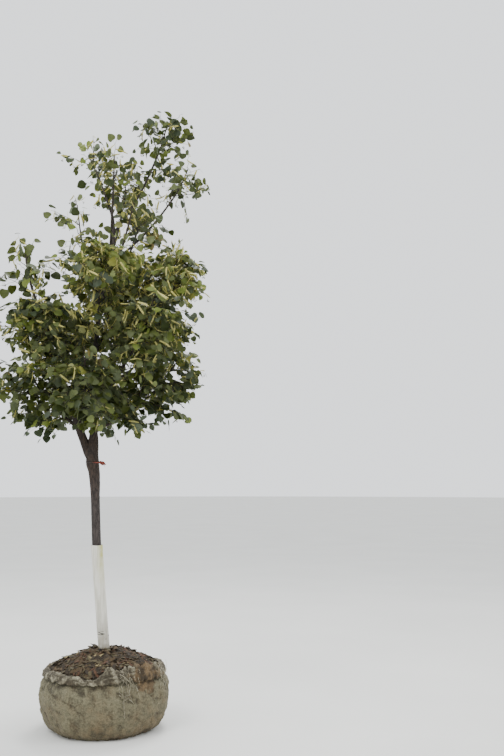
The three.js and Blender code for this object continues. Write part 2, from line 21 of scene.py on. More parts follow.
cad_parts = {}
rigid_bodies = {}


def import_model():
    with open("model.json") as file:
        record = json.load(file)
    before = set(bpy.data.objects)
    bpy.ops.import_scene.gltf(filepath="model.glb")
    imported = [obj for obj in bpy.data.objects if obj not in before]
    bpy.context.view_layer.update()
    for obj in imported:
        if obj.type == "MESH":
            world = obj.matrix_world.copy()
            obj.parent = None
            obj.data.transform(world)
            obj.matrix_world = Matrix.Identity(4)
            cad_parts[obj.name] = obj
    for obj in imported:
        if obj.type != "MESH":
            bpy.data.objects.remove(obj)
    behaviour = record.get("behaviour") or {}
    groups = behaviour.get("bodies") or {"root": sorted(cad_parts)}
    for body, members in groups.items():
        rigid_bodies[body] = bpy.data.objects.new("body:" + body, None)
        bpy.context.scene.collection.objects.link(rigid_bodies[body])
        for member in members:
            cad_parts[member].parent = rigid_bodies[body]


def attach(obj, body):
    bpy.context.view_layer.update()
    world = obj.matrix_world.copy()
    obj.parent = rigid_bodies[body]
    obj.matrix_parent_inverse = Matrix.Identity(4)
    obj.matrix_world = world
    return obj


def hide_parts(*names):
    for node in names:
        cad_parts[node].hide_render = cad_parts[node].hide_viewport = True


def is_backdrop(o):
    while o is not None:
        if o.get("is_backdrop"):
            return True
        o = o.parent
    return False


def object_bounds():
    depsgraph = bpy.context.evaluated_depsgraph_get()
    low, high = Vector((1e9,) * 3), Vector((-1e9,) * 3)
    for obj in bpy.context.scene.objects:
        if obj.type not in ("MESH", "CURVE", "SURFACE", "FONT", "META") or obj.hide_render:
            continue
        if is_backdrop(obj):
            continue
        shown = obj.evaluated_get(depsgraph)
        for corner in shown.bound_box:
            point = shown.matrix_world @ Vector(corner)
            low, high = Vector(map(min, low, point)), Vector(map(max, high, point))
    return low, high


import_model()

CAD_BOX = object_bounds()
BODY = "root"
MM = 0.001
UP = np.array([0.0, 0.0, 1.0])
RIGHT = np.array([1.0, 0.0, 0.0])
BACK = np.array([0.0, 1.0, 0.0])

Array = np.ndarray
Pair = tuple[float, float]
Pairs = tuple[Pair, ...]
Triple = tuple[float, float, float]
Source = Node | NodeSocket
Inputs = dict[str | int, object] | Sequence[object]
log = logging.getLogger("linden")


# Small helpers


class Draws:
    """Random numbers that are the same on each run and on each machine."""

    MASK = 0xFFFFFFFF

    def __init__(self, seed: int) -> None:
        """Starts the row of numbers that belongs to a seed."""
        self.state = seed & self.MASK

    def share(self) -> float:
        """Returns the next number, from 0 to 1."""
        self.state = (self.state + 0x6D2B79F5) & self.MASK
        mixed = ((self.state ^ (self.state >> 15)) * (1 | self.state)) & self.MASK
        stirred = ((mixed ^ (mixed >> 7)) * (61 | mixed)) & self.MASK
        mixed = ((mixed + stirred) & self.MASK) ^ mixed
        return (mixed ^ (mixed >> 14)) / 4294967296

    def between(self, low: float, high: float) -> float:
        """Returns the next number, from low to high."""
        return low + (high - low) * self.share()

    def vector(self, size: float) -> Array:
        """Returns a vector whose parts lie within size of 0."""
        return np.array([self.share() - 0.5, self.share() - 0.5, self.share() - 0.5]) * 2 * size

    def pick(self, weights: Sequence[float]) -> int:
        """Returns an index, as often as its weight says."""
        mark = self.share() * sum(weights)
        for index, weight in enumerate(weights):
            mark -= weight
            if mark < 0:
                return index
        return len(weights) - 1


def mix(low: float, high: float, share: float) -> float:
    """Returns the number that lies a share of the way from low to high."""
    return low + (high - low) * share


def unit(vector: Array) -> Array:
    """Returns a vector of length 1 that points the same way."""
    return vector / max(float(np.linalg.norm(vector)), 1e-9)


def across(vector: Array, axis: Array) -> Array:
    """Returns the unit vector that is square to an axis and nearest to a vector."""
    return unit(vector - axis * float(vector @ axis))


def turned(vector: Array, axis: Array, angle: float) -> Array:
    """Returns a vector turned about a unit axis by an angle in radians."""
    return np.array(Matrix.Rotation(angle, 3, Vector(axis)) @ Vector(vector))


class Line:
    """A smooth line through a few points, read by shares of its length."""

    STEPS = 24

    def __init__(self, points: Sequence[Array]) -> None:
        """Samples the line.

        Args:
            points: The points that it passes, in order.
        """
        ends = [2 * points[0] - points[1], *points, 2 * points[-1] - points[-2]]
        pieces = [self._piece(*ends[first : first + 4]) for first in range(len(points) - 1)]
        self.places = np.vstack([*pieces, points[-1][None]])
        steps = np.linalg.norm(np.diff(self.places, axis=0), axis=1)
        self.marks = np.concatenate([[0.0], np.cumsum(steps)])
        self.length = float(self.marks[-1])

    def _piece(self, before: Array, start: Array, end: Array, after: Array) -> Array:
        """Returns samples between start and end, with spacing by the root of each gap."""
        gaps = [math.sqrt(np.linalg.norm(b - a)) for a, b in ((before, start), (start, end), (end, after))]
        leave = (start - before) / gaps[0] - (end - before) / (gaps[0] + gaps[1]) + (end - start) / gaps[1]
        arrive = (end - start) / gaps[1] - (after - start) / (gaps[1] + gaps[2]) + (after - end) / gaps[2]
        leave, arrive = leave * gaps[1], arrive * gaps[1]
        share = np.linspace(0, 1, self.STEPS, endpoint=False)[:, None]
        square = 3 * (end - start) - 2 * leave - arrive
        cube = 2 * (start - end) + leave + arrive
        return start + leave * share + square * share**2 + cube * share**3

    def at(self, share: float) -> Array:
        """Returns the point at a share of the length."""
        mark = share * self.length
        return np.array([np.interp(mark, self.marks, self.places[:, part]) for part in range(3)])

    def along(self, share: float) -> Array:
        """Returns the unit direction of the line at a share of its length."""
        reach = 0.002
        return unit(self.at(min(1.0, share + reach)) - self.at(max(0.0, share - reach)))

    def share_at_height(self, height: float) -> float:
        """Returns the share at which a line that climbs reaches a height."""
        return float(np.interp(height, self.places[:, 2], self.marks)) / self.length


def link(name: str, data: bpy.types.ID) -> Object:
    """Puts an object that holds a mesh, a light or a camera in the scene, at the origin."""
    made = bpy.data.objects.new(name, data)
    bpy.context.scene.collection.objects.link(made)
    return made


def object_with(mesh: Mesh) -> Object:
    """Makes a smooth object of a mesh."""
    mesh.shade_smooth()
    return link(mesh.name, mesh)


def object_from(name: str, vertices: Array, faces: Array, uv: Array | None = None) -> Object:
    """Makes an object of a mesh whose faces all have as many corners.

    Args:
        name: The object's name.
        vertices: One row for each vertex.
        faces: One row of vertex numbers for each face.
        uv: One row for each corner of each face, or None.

    Returns:
        The new object, smooth and at the origin.
    """
    mesh = bpy.data.meshes.new(name)
    count, corners = faces.shape
    mesh.vertices.add(len(vertices))
    mesh.vertices.foreach_set("co", np.ascontiguousarray(vertices, np.float32).ravel())
    mesh.loops.add(count * corners)
    mesh.loops.foreach_set("vertex_index", np.ascontiguousarray(faces, np.int32).ravel())
    mesh.polygons.add(count)
    mesh.polygons.foreach_set("loop_start", np.arange(count, dtype=np.int32) * corners)
    if uv is not None:
        mesh.uv_layers.new(name="UVMap").data.foreach_set("uv", np.ascontiguousarray(uv, np.float32).ravel())
    mesh.update(calc_edges=True)
    return object_with(mesh)


def object_of(bm: BMesh, name: str) -> Object:
    """Makes a smooth object of a bmesh, with its faces outwards, and frees the bmesh."""
    bmesh.ops.recalc_face_normals(bm, faces=bm.faces)
    mesh = bpy.data.meshes.new(name)
    bm.to_mesh(mesh)
    bm.free()
    return object_with(mesh)


def places_of(piece: Object) -> Array:
    """Returns a mesh's vertices, one row each."""
    places = np.empty(len(piece.data.vertices) * 3, np.float32)
    piece.data.vertices.foreach_get("co", places)
    return places.reshape(-1, 3).astype(float)


def polar_of(piece: Object) -> tuple[Array, Array, Array]:
    """Returns a mesh's vertices, one row each, and their angles and radii about the upright axis."""
    places = places_of(piece)
    return places, np.arctan2(places[:, 1], places[:, 0]), np.hypot(places[:, 0], places[:, 1])


def around(angles: Array, height: float | Array = 0.0) -> Array:
    """Returns points one out from the upright axis at some angles and heights, one row each."""
    return np.column_stack([np.cos(angles), np.sin(angles), np.broadcast_to(height, len(angles))])


def normals_of(piece: Object) -> Array:
    """Returns the normal at each of a mesh's vertices, one row each."""
    normals = np.empty(len(piece.data.vertices) * 3, np.float32)
    piece.data.vertex_normals.foreach_get("vector", normals)
    return normals.reshape(-1, 3).astype(float)


def set_places(piece: Object, places: Array) -> None:
    """Moves a mesh's vertices to new places."""
    piece.data.vertices.foreach_set("co", np.ascontiguousarray(places, np.float32).ravel())
    piece.data.update()


def set_values(piece: Object, name: str, values: Array) -> None:
    """Stores one number for each vertex, which a material reads by its name."""
    attribute = piece.data.attributes.new(name, "FLOAT", "POINT")
    attribute.data.foreach_set("value", np.ascontiguousarray(values, np.float32))


def apply_modifiers(piece: Object) -> None:
    """Turns a piece's modifiers into its mesh."""
    seen = piece.evaluated_get(bpy.context.evaluated_depsgraph_get())
    mesh = bpy.data.meshes.new_from_object(seen)
    piece.modifiers.clear()
    old = piece.data
    piece.data = mesh
    bpy.data.meshes.remove(old)


def noise_at(places: Array, octaves: int = 2) -> Array:
    """Returns smooth noise, from about -1 to 1, for each row of places."""
    return np.array([noise.fractal(Vector(place), 1.0, 2.0, octaves) for place in places])


def ridges_at(places: Array) -> Array:
    """Returns noise from 0 to 1 that is 0 along narrow valleys, for each row of places."""
    return np.array([min(1.0, 2.4 * abs(noise.noise(Vector(place)))) for place in places])


def creases_at(places: Array, sharp: float) -> Array:
    """Returns 1 along narrow lines and 0 away from them, for each row of places."""
    return np.array([max(0.0, 1 - sharp * abs(noise.noise(Vector(place)))) for place in places])


def dress(piece: Object, slot: str, *materials: Material, replaces: Sequence[str] = ()) -> None:
    """Gives a finished piece its materials and its body, and hides the solids that it stands for."""
    for material in materials:
        piece.data.materials.append(material)
    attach(piece, BODY)
    if replaces:
        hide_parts(*replaces)
    log.info("%s: %d vertices, %d faces", piece.name, len(piece.data.vertices), len(piece.data.polygons))


# Finishes


def linear(colour: str) -> tuple[float, float, float, float]:
    """Turns an sRGB hex colour such as 8a7f6a to linear light."""
    parts = [int(colour[start : start + 2], 16) / 255 for start in (0, 2, 4)]
    light = [part / 12.92 if part <= 0.04045 else ((part + 0.055) / 1.055) ** 2.4 for part in parts]
    return (*light, 1.0)


def per_metre(millimetres: float) -> float:
    """Returns the pattern scale that gives features of a size in millimetres."""
    return 1000.0 / millimetres


class Surface:
    """A new material, with its Principled shader and the Object coordinates that its patterns start from."""

    def __init__(self, name: str) -> None:
        """Makes the material."""
        self.material = bpy.data.materials.new(name)
        self.material.use_nodes = True
        self.tree = self.material.node_tree
        self.shader = self.tree.nodes["Principled BSDF"]
        self.place = self.add("TexCoord").outputs["Object"]

    def set(self, node: Node, inputs: Inputs) -> None:
        """Sets or links a node's inputs.

        Args:
            node: The node.
            inputs: For each input, by name or in order, its value, a hex colour, or the socket or node
                that feeds it. A node feeds it from its first output that is in use.
        """
        for name, value in (inputs if isinstance(inputs, dict) else dict(enumerate(inputs))).items():
            if isinstance(value, Node):
                value = next(output for output in value.outputs if output.enabled)
            if isinstance(value, NodeSocket):
                self.tree.links.new(value, node.inputs[name])
            else:
                node.inputs[name].default_value = linear(value) if isinstance(value, str) else value

    def add(
        self, kind: str, inputs: Inputs = (), stops: Sequence[tuple[float, str]] = (), **settings: object
    ) -> Node:
        """Adds a node.

        Args:
            kind: The node's type without its prefix, such as TexNoise.
            inputs: Its inputs, as set() takes them.
            stops: The places and the hex colours of a colour ramp's two ends.
            settings: The node's own properties.

        Returns:
            The new node.
        """
        node = self.tree.nodes.new(f"ShaderNode{kind}")
        for name, value in settings.items():
            setattr(node, name, value)
        self.set(node, inputs)
        if stops:
            for element, (place, colour) in zip(node.color_ramp.elements, stops):
                element.position, element.color = place, linear(colour)
        return node

    def let_light_through(self, glow: str, share: float) -> None:
        """Makes the surface thin: a share of its light comes through from behind, in a glowing colour."""
        lamp = self.add("BsdfTranslucent", {"Color": glow})
        blend = self.add("MixShader", (share, self.shader, lamp))
        self.set(self.tree.nodes["Material Output"], {"Surface": blend})

    def finish(
        self, colour: Source, roughness: float, height: Source | None = None,
        strength: float = 0.0, depth: float = 0.0,
    ) -> Material:
        """Joins the patterns to the shader.

        Args:
            colour: Its base colour.
            roughness: Its roughness.
            height: The height of its fine relief, if it has one.
            strength: How strongly that relief shows, from 0 to 1.
            depth: How deep that relief is.

        Returns:
            The finished material.
        """
        self.set(self.shader, {"Base Color": colour, "Roughness": roughness})
        if height is not None:
            bump = self.add("Bump", {"Height": height, "Strength": strength, "Distance": depth})
            self.set(self.shader, {"Normal": bump})
        return self.material


@dataclass(frozen=True)
class LeafFinish:
    """A linden blade: a thin, slightly waxy leaf that some daylight comes through."""

    name: str
    upper: str
    lower: str
    glow: str
    weight: float
    mottle_mm: float = 22.0
    roughness: float = 0.52
    duller: float = 0.2
    shine: float = 0.38
    through: float = 0.36

    def _side(self, suffix: str, colour: str, roughness: float) -> Material:
        """Makes the material of one side of the blade."""
        skin = Surface(f"{self.name}_{suffix}")
        mottle = {"Vector": skin.place, "Scale": per_metre(self.mottle_mm), "Detail": 2.0}
        spots = skin.add("TexNoise", mottle)
        vein = self._veins(skin)
        value = skin.add("MapRange", (spots, 0.3, 0.7, 0.78, 1.2))
        lit = skin.add("Math", (value, vein), operation="ADD")
        shade = skin.add("HueSaturation", {"Color": colour, "Value": lit})
        skin.set(skin.shader, {"Specular IOR Level": self.shine})
        skin.let_light_through(self.glow, self.through)
        return skin.finish(shade, roughness, vein, 0.25, 0.4 * MM)

    def _veins(self, skin: Surface) -> Node:
        """Returns a height for the midrib and the side veins that leave it slantwise, 6 a side."""
        axes = skin.add("SeparateXYZ", (skin.add("UVMap"),))
        off = skin.add("Math", (axes.outputs["Y"], 0.5), operation="SUBTRACT")
        off = skin.add("Math", (off,), operation="ABSOLUTE")
        slant = skin.add("Math", (off, -0.75, axes.outputs["X"]), operation="MULTIPLY_ADD")
        rows = skin.add("Math", (slant, 6.0), operation="MULTIPLY")
        wave = skin.add("Math", (rows, 0.5), operation="PINGPONG")
        side = skin.add("MapRange", (wave, 0.0, 0.1, 0.12, 0.0))
        middle = skin.add("MapRange", (off, 0.0, 0.03, 0.25, 0.0))
        return skin.add("Math", (side, middle), operation="MAXIMUM")

    def materials(self) -> tuple[Material, Material]:
        """Makes the glossier upper side and the paler, duller lower side."""
        upper = self._side("upper", self.upper, self.roughness)
        return upper, self._side("lower", self.lower, self.roughness + self.duller)


class LeafColour(Enum):
    """The colours that the sprays of leaves are dealt, with how often each comes."""

    DEEP = LeafFinish("leaf_deep_green", "323c1b", "555e40", "7e8a34", 0.28)
    OLIVE = LeafFinish("leaf_olive", "4b5426", "69724b", "949c3c", 0.36)
    DUSKY = LeafFinish("leaf_grey_green", "3a4530", "636d57", "7a8440", 0.13)
    FRESH = LeafFinish("leaf_fresh_green", "657230", "848f58", "b0b848", 0.17)
    YELLOW = LeafFinish("leaf_yellow_green", "83863f", "999c64", "c4c054", 0.05)
    TURNING = LeafFinish("leaf_turning", "78703e", "878058", "ac9848", 0.01)


@dataclass(frozen=True)
class DrySkin:
    """A thin dry plant part, such as a bract or a nutlet: matt, with a soft fibrous change of shade."""

    name: str
    dark: str
    light: str
    grain_mm: float
    roughness: float
    glow: str = ""
    through: float = 0.4

    def material(self) -> Material:
        """Makes the material."""
        skin = Surface(self.name)
        grain = skin.add("TexNoise", {"Vector": skin.place, "Scale": per_metre(self.grain_mm)})
        colour = skin.add("ValToRGB", (grain,), ((0.35, self.dark), (0.65, self.light)))
        if self.glow:
            skin.let_light_through(self.glow, self.through)
        return skin.finish(colour, self.roughness, grain, 0.3, 0.3 * MM)


@dataclass(frozen=True)
class BarkFinish:
    """Young linden bark: matt and corky, grey-purple where smooth, red-brown where it starts to crack."""

    name: str
    crevice: str
    ridge: str
    fork_crevice: str
    fork_ridge: str
    fork: Pair = (1.55, 2.25)
    lenticel_mm: float = 9.0
    blotch_mm: float = 60.0
    speck_mm: float = 3.5
    roughness: float = 0.9

    def material(self) -> Material:
        """Makes the material, which reads the furrow value stored with the relief."""
        bark = Surface(self.name)
        place = bark.place
        furrow = bark.add("Attribute", attribute_name="furrow").outputs["Fac"]
        specks = bark.add("TexNoise", {"Vector": place, "Scale": per_metre(self.speck_mm), "Detail": 3.0})
        level = bark.add("Math", (specks, 0.7, furrow), operation="MULTIPLY_ADD")
        level = bark.add("Math", (level, 0.35), operation="SUBTRACT")
        plain = bark.add("ValToRGB", (level,), ((0.1, self.crevice), (0.8, self.ridge)))
        warm = bark.add("ValToRGB", (level,), ((0.1, self.fork_crevice), (0.8, self.fork_ridge)))
        blotch = bark.add("TexNoise", {"Vector": place, "Scale": per_metre(self.blotch_mm), "Detail": 3.0})
        height = bark.add("SeparateXYZ", (place,)).outputs["Z"]
        middle, half = sum(self.fork) / 2, (self.fork[1] - self.fork[0]) / 2
        off = bark.add("Math", (height, middle), operation="SUBTRACT")
        off = bark.add("Math", (off,), operation="ABSOLUTE")
        near = bark.add("MapRange", (off, half, half * 0.4))
        near = bark.add("Math", (near, blotch), operation="MULTIPLY")
        near = bark.add("Math", (near, 1.7), operation="MULTIPLY", use_clamp=True)
        both = bark.add("Mix", {"Factor": near, 6: plain, 7: warm}, data_type="RGBA")
        stretched = bark.add("Mapping", {"Vector": place, "Scale": (0.4, 0.4, 2.6)})
        pores = bark.add("TexVoronoi", {"Vector": stretched, "Scale": per_metre(self.lenticel_mm)})
        pore = bark.add("MapRange", (pores, 0.16, 0.08))
        pore = bark.add("Math", (pore, 0.3), operation="MULTIPLY")
        dotted = bark.add("Mix", {"Factor": pore, 6: both, 7: self.fork_ridge}, data_type="RGBA")
        return bark.finish(dotted, self.roughness, level, 0.6, 1.2 * MM)


@dataclass(frozen=True)
class BurlapFinish:
    """Weathered jute burlap: a coarse open plain weave, grey-tan, stained by soil from below.

    Real threads lie about 2.5 mm apart. They are drawn at twice that, so that the weave still shows.
    """

    name: str
    thread: str
    shadow: str
    soil: str
    damp: str = "33291a"
    thread_mm: float = 5.0
    bend_mm: float = 45.0
    slub_mm: float = 14.0
    stain_mm: float = 130.0
    crumb_mm: float = 9.0
    clod_mm: float = 46.0
    stain_top: float = 0.42
    roughness: float = 0.95

    def _weave(self, cloth: Surface) -> Node:
        """Returns the height of the plain weave: two sets of threads that cross, on the cloth's own map."""
        flat = cloth.add("UVMap")
        bent = cloth.add("TexNoise", {"Vector": flat, "Scale": per_metre(self.bend_mm)}).outputs["Color"]
        moved = cloth.add("VectorMath", (bent, (0.008, 0.008, 0.0), flat), operation="MULTIPLY_ADD")
        bands = per_metre(self.thread_mm) * 0.314
        inputs = {"Vector": moved, "Scale": bands, "Distortion": 0.6, "Detail": 1.0}
        sets = [cloth.add("TexWave", inputs, bands_direction=axis).outputs["Fac"] for axis in ("X", "Y")]
        return cloth.add("Math", sets, operation="MAXIMUM")

    def material(self) -> Material:
        """Makes the material, which reads the painted shade of the folds and how torn the cloth is."""
        cloth = Surface(self.name)
        place = cloth.place
        weave = self._weave(cloth)
        fold_shade = cloth.add("Attribute", attribute_name="fold_shade").outputs["Fac"]
        slubs = cloth.add("TexNoise", {"Vector": place, "Scale": per_metre(self.slub_mm), "Detail": 4.0})
        level = cloth.add("Math", (weave, slubs), operation="MULTIPLY")
        # Painted shade: the cloth is painted darker, towards its shadow colour, where it lies deep in a fold
        # or crease.
        level = cloth.add("Math", (level, fold_shade), operation="SUBTRACT")
        bare = cloth.add("ValToRGB", (level,), ((0.0, self.shadow), (0.42, self.thread)))
        stain = cloth.add("TexNoise", {"Vector": place, "Scale": per_metre(self.stain_mm), "Detail": 5.0})
        height = cloth.add("SeparateXYZ", (place,)).outputs["Z"]
        low = cloth.add("MapRange", (height, self.stain_top, 0.0, 0.0, 0.34))
        dirt = cloth.add("Math", (stain, low), operation="ADD")
        dirt = cloth.add("MapRange", (dirt, 0.5, 1.0, 0.0, 0.75))
        torn = cloth.add("Attribute", attribute_name="torn").outputs["Fac"]
        factor = cloth.add("Math", (dirt, torn), operation="MAXIMUM")
        crumbs = cloth.add("TexNoise", {"Vector": place, "Scale": per_metre(self.crumb_mm), "Detail": 5.0})
        clods = cloth.add("TexNoise", {"Vector": place, "Scale": per_metre(self.clod_mm), "Detail": 7.0})
        earth = cloth.add("ValToRGB", (clods,), ((0.36, self.damp), (0.6, self.soil)))
        both = cloth.add("Mix", {"Factor": factor, 6: bare, 7: earth}, data_type="RGBA")
        shade = cloth.add("MapRange", (crumbs, 0.3, 0.7, 0.7, 1.25))
        final = cloth.add("HueSaturation", {"Color": both, "Value": shade})
        return cloth.finish(final, self.roughness, level, 0.7, 1.5 * MM)


@dataclass(frozen=True)
class CrumbFinish:
    """Loose earth or a chip of bark: rough, broken and matt."""

    name: str
    dark: str
    light: str
    grain_mm: float
    streak: Triple = (1.0, 1.0, 1.0)
    roughness: float = 0.95

    def material(self) -> Material:
        """Makes the material."""
        crumb = Surface(self.name)
        drawn = crumb.add("Mapping", {"Vector": crumb.place, "Scale": self.streak})
        inputs = {"Vector": drawn, "Scale": per_metre(self.grain_mm), "Detail": 5.0, "Roughness": 0.65}
        grain = crumb.add("TexNoise", inputs)
        colour = crumb.add("ValToRGB", (grain,), ((0.32, self.dark), (0.68, self.light)))
        return crumb.finish(colour, self.roughness, grain, 0.8, 2 * MM)


@dataclass(frozen=True)
class GuardPlastic:
    """Extruded white polyethylene: off-white and satin, chalked by sun, with splashed soil at its foot that
    also serves as painted shade on the sleeve's lower part.
    """

    name: str = "guard_polyethylene"
    clean: str = "d3d0c5"
    chalk: str = "b9b6a7"
    moss: str = "a9a860"
    soil: str = "6d6350"
    scuff: str = "35332c"
    streak_mm: float = 16.0
    blotch_mm: float = 45.0
    scrape_mm: float = 26.0
    moss_size: Pair = (0.034, 0.3)
    splash_and_shade_height: float = 0.26
    scrapes: Pair = (0.1, 0.05)
    roughness: float = 0.5

    def material(self, foot: float, top: float, edge: float) -> Material:
        """Makes the material.

        Args:
            foot: The height of the sleeve's lower end.
            top: The height of its upper end.
            edge: How far to the right its upper end reaches.

        Returns:
            The material.
        """
        plastic = Surface(self.name)
        place = plastic.place
        axes = plastic.add("SeparateXYZ", (place,))
        height = axes.outputs["Z"]
        drawn = plastic.add("Mapping", {"Vector": place, "Scale": (1.0, 1.0, 0.08)})
        streak = plastic.add("TexNoise", {"Vector": drawn, "Scale": per_metre(self.streak_mm), "Detail": 4.0})
        chalky = plastic.add("ValToRGB", (streak,), ((0.35, self.chalk), (0.62, self.clean)))
        blotch = plastic.add("TexNoise", {"Vector": place, "Scale": per_metre(self.blotch_mm), "Detail": 4.0})
        right = plastic.add("MapRange", (axes.outputs["X"], edge - self.moss_size[0], edge))
        high = plastic.add("MapRange", (height, top - self.moss_size[1], top))
        moss = plastic.add("Math", (right, high), operation="MULTIPLY")
        moss = plastic.add("Math", (moss, blotch), operation="MULTIPLY")
        moss = plastic.add("Math", (moss, 1.8), operation="MULTIPLY", use_clamp=True)
        green = plastic.add("Mix", {"Factor": moss, 6: chalky, 7: self.moss}, data_type="RGBA")
        # Splashed soil near the foot, partly painted shade: the lower part of the sleeve is painted darker
        # and browner, fading out upwards.
        low = plastic.add("MapRange", (height, foot + self.splash_and_shade_height, foot))
        splash_and_shade = plastic.add("Math", (low, blotch), operation="MULTIPLY")
        splash_and_shade = plastic.add("Math", (splash_and_shade, 1.3), operation="MULTIPLY", use_clamp=True)
        splashed_and_shaded = plastic.add("Mix", {"Factor": splash_and_shade, 6: green, 7: self.soil}, data_type="RGBA")
        scraped = self._scrapes(plastic, height, foot)
        marked = plastic.add("Mix", {"Factor": scraped, 6: splashed_and_shaded, 7: self.scuff}, data_type="RGBA")
        return plastic.finish(marked, self.roughness, streak, 0.12, MM)

    def _scrapes(self, plastic: Surface, height: NodeSocket, foot: float) -> Node:
        """Returns where the dark scrapes near the foot are: short level strokes in a band round the sleeve.
        """
        turn, scale = (0.5, 0.6, 0.0), (0.45, 0.45, 2.4)
        flat = plastic.add("Mapping", {"Vector": plastic.place, "Scale": scale, "Rotation": turn})
        strokes = plastic.add("TexNoise", {"Vector": flat, "Scale": per_metre(self.scrape_mm), "Detail": 1.0})
        middle, half = self.scrapes
        band = plastic.add("Math", (height, foot + middle, half), operation="COMPARE")
        stroke = plastic.add("MapRange", (strokes, 0.62, 0.66))
        return plastic.add("Math", (stroke, band), operation="MULTIPLY")


@dataclass(frozen=True)
class TapeFinish:
    """Vinyl flagging tape: thin, slightly glossy orange-red film, faded in patches, with painted shade that
    darkens it towards the left.
    """

    name: str = "flagging_vinyl"
    strong: str = "6b1c0d"
    faded: str = "94401f"
    left_shade: str = "2c1d15"
    fade_mm: float = 30.0
    crease_mm: float = 6.0
    roughness: float = 0.35
    shade_fade_span: Pair = (-0.115, -0.078)

    def material(self) -> Material:
        """Makes the material."""
        film = Surface(self.name)
        fade = film.add("TexNoise", {"Vector": film.place, "Scale": per_metre(self.fade_mm), "Detail": 3.0})
        bright = film.add("ValToRGB", (fade,), ((0.35, self.strong), (0.65, self.faded)))
        # Painted shade: the tape is painted dark brown towards its left side, fading out over a short span in
        # X.
        side = film.add("SeparateXYZ", (film.place,)).outputs["X"]
        clean = film.add("MapRange", (side, *self.shade_fade_span))
        shown = film.add("Mix", {"Factor": clean, 6: self.left_shade, 7: bright}, data_type="RGBA")
        crease = film.add("TexNoise", {"Vector": film.place, "Scale": per_metre(self.crease_mm)})
        return film.finish(shown, self.roughness, crease, 0.4, MM)


TRUNK_BARK = BarkFinish("linden_trunk_bark", "191513", "3f3734", "160f0b", "382b21")
BOUGH_BARK = BarkFinish(
    "linden_bough_bark", "191612", "3a342d", "1a130d", "3a2f24", fork=(1.8, 2.3), speck_mm=2.5
)
TWIG_BARK = DrySkin("linden_twig_bark", "1e1913", "40362a", 6.0, 0.8)
BRACT_SKIN = DrySkin("linden_bract", "aeac5c", "d6cf8c", 9.0, 0.6, glow="e6e088")
NUTLET_SKIN = DrySkin("linden_nutlet", "3a4023", "676a42", 2.5, 0.8)
STALK_SKIN = DrySkin("linden_stalk", "5d6336", "8d8a52", 8.0, 0.6)
# One burlap in two copies: the ball's cloth is painted darker, partly as painted shade on its sides, and the
# roll's is painted lighter as painted light on the cloth's top edge.
BALL_BURLAP_PAINTED_SHADE = BurlapFinish("jute_burlap", "757058", "322d21", "65533a")
ROLL_BURLAP_PAINTED_LIGHT = BurlapFinish("jute_burlap_roll_painted_light", "958f79", "3c3629", "65533a", stain_mm=90.0)
FRAYED_JUTE = DrySkin("frayed_jute", "857e68", "b3ac96", 12.0, 0.9)
EARTH = CrumbFinish("mulched_earth", "1d1710", "413626", 9.0)


class ChipColour(Enum):
    """The colours of the bark chips, with how often each comes."""

    DARK = (CrumbFinish("bark_chip_dark", "19140c", "33291a", 5.0, (1, 1, 2)), 0.36)
    BROWN = (CrumbFinish("bark_chip_brown", "2e2415", "4f3f27", 5.0, (1, 1, 2)), 0.36)
    RED = (CrumbFinish("bark_chip_red", "382417", "573b26", 5.0, (1, 1, 2)), 0.10)
    GREY = (CrumbFinish("bark_chip_grey", "38321f", "5a513a", 5.0, (1, 1, 2)), 0.14)
    PALE = (CrumbFinish("bark_chip_pale", "6f6345", "8f8059", 6.0, (1, 1, 2)), 0.03)


# Rings, strips, and joined copies of small shapes


def grow_ring(bm: BMesh, edges: Sequence[BMEdge]) -> tuple[list[BMVert], list[BMEdge]]:
    """Extrudes the edges of a ring on the spot.

    Args:
        bm: The bmesh that holds the ring.
        edges: Its edges.

    Returns:
        The new ring's vertices and edges.
    """
    grown = bmesh.ops.extrude_edge_only(bm, edges=edges)["geom"]
    ring = [part for part in grown if isinstance(part, BMVert)]
    others = [part for part in grown if isinstance(part, BMEdge)]
    return ring, [edge for edge in others if all(vertex in ring for vertex in edge.verts)]


def add_strip(bm: BMesh, points: Array, facing: Array, width: float | Array) -> None:
    """Adds a flat strip along a line.

    Args:
        bm: The bmesh that takes it.
        points: The line that it follows, one row each.
        facing: The way that its face looks, one row for each point.
        width: How wide it is, or how wide at each point.
    """
    last = len(points) - 1
    halves = np.broadcast_to(width, len(points)) / 2
    ways = zip(np.gradient(points, axis=0), facing, halves)
    sides = [unit(np.cross(unit(way), unit(face))) * half for way, face, half in ways]
    for vertex in bmesh.ops.create_grid(bm, x_segments=last, y_segments=1, size=0.5)["verts"]:
        place = round((vertex.co.x + 0.5) * last)
        vertex.co = points[place] + sides[place] * (1 if vertex.co.y < 0 else -1)


@dataclass
class Template:
    """A small shape that is copied many times."""

    vertices: Array
    faces: Array
    uv: Array
    sides: Array
    rim: int = 0

    @classmethod
    def of(cls, bm: BMesh, rim: int = 0, underside: bool = False) -> "Template":
        """Reads a bmesh and frees it.

        Args:
            bm: The shape, with its places as its UVs.
            rim: How many of its first vertices lie on a sharp rim.
            underside: Whether faces that look down take the second material.
        """
        bmesh.ops.triangulate(bm, faces=bm.faces)
        bm.verts.index_update()
        bm.normal_update()
        vertices = np.array([vertex.co for vertex in bm.verts], float)
        faces = np.array([[vertex.index for vertex in face.verts] for face in bm.faces])
        sides = np.array([int(underside and face.normal.z < 0) for face in bm.faces])
        bm.free()
        uv = vertices[faces.ravel()][:, :2] + np.array([0.0, 0.5])
        return cls(vertices, faces, uv, sides, rim)


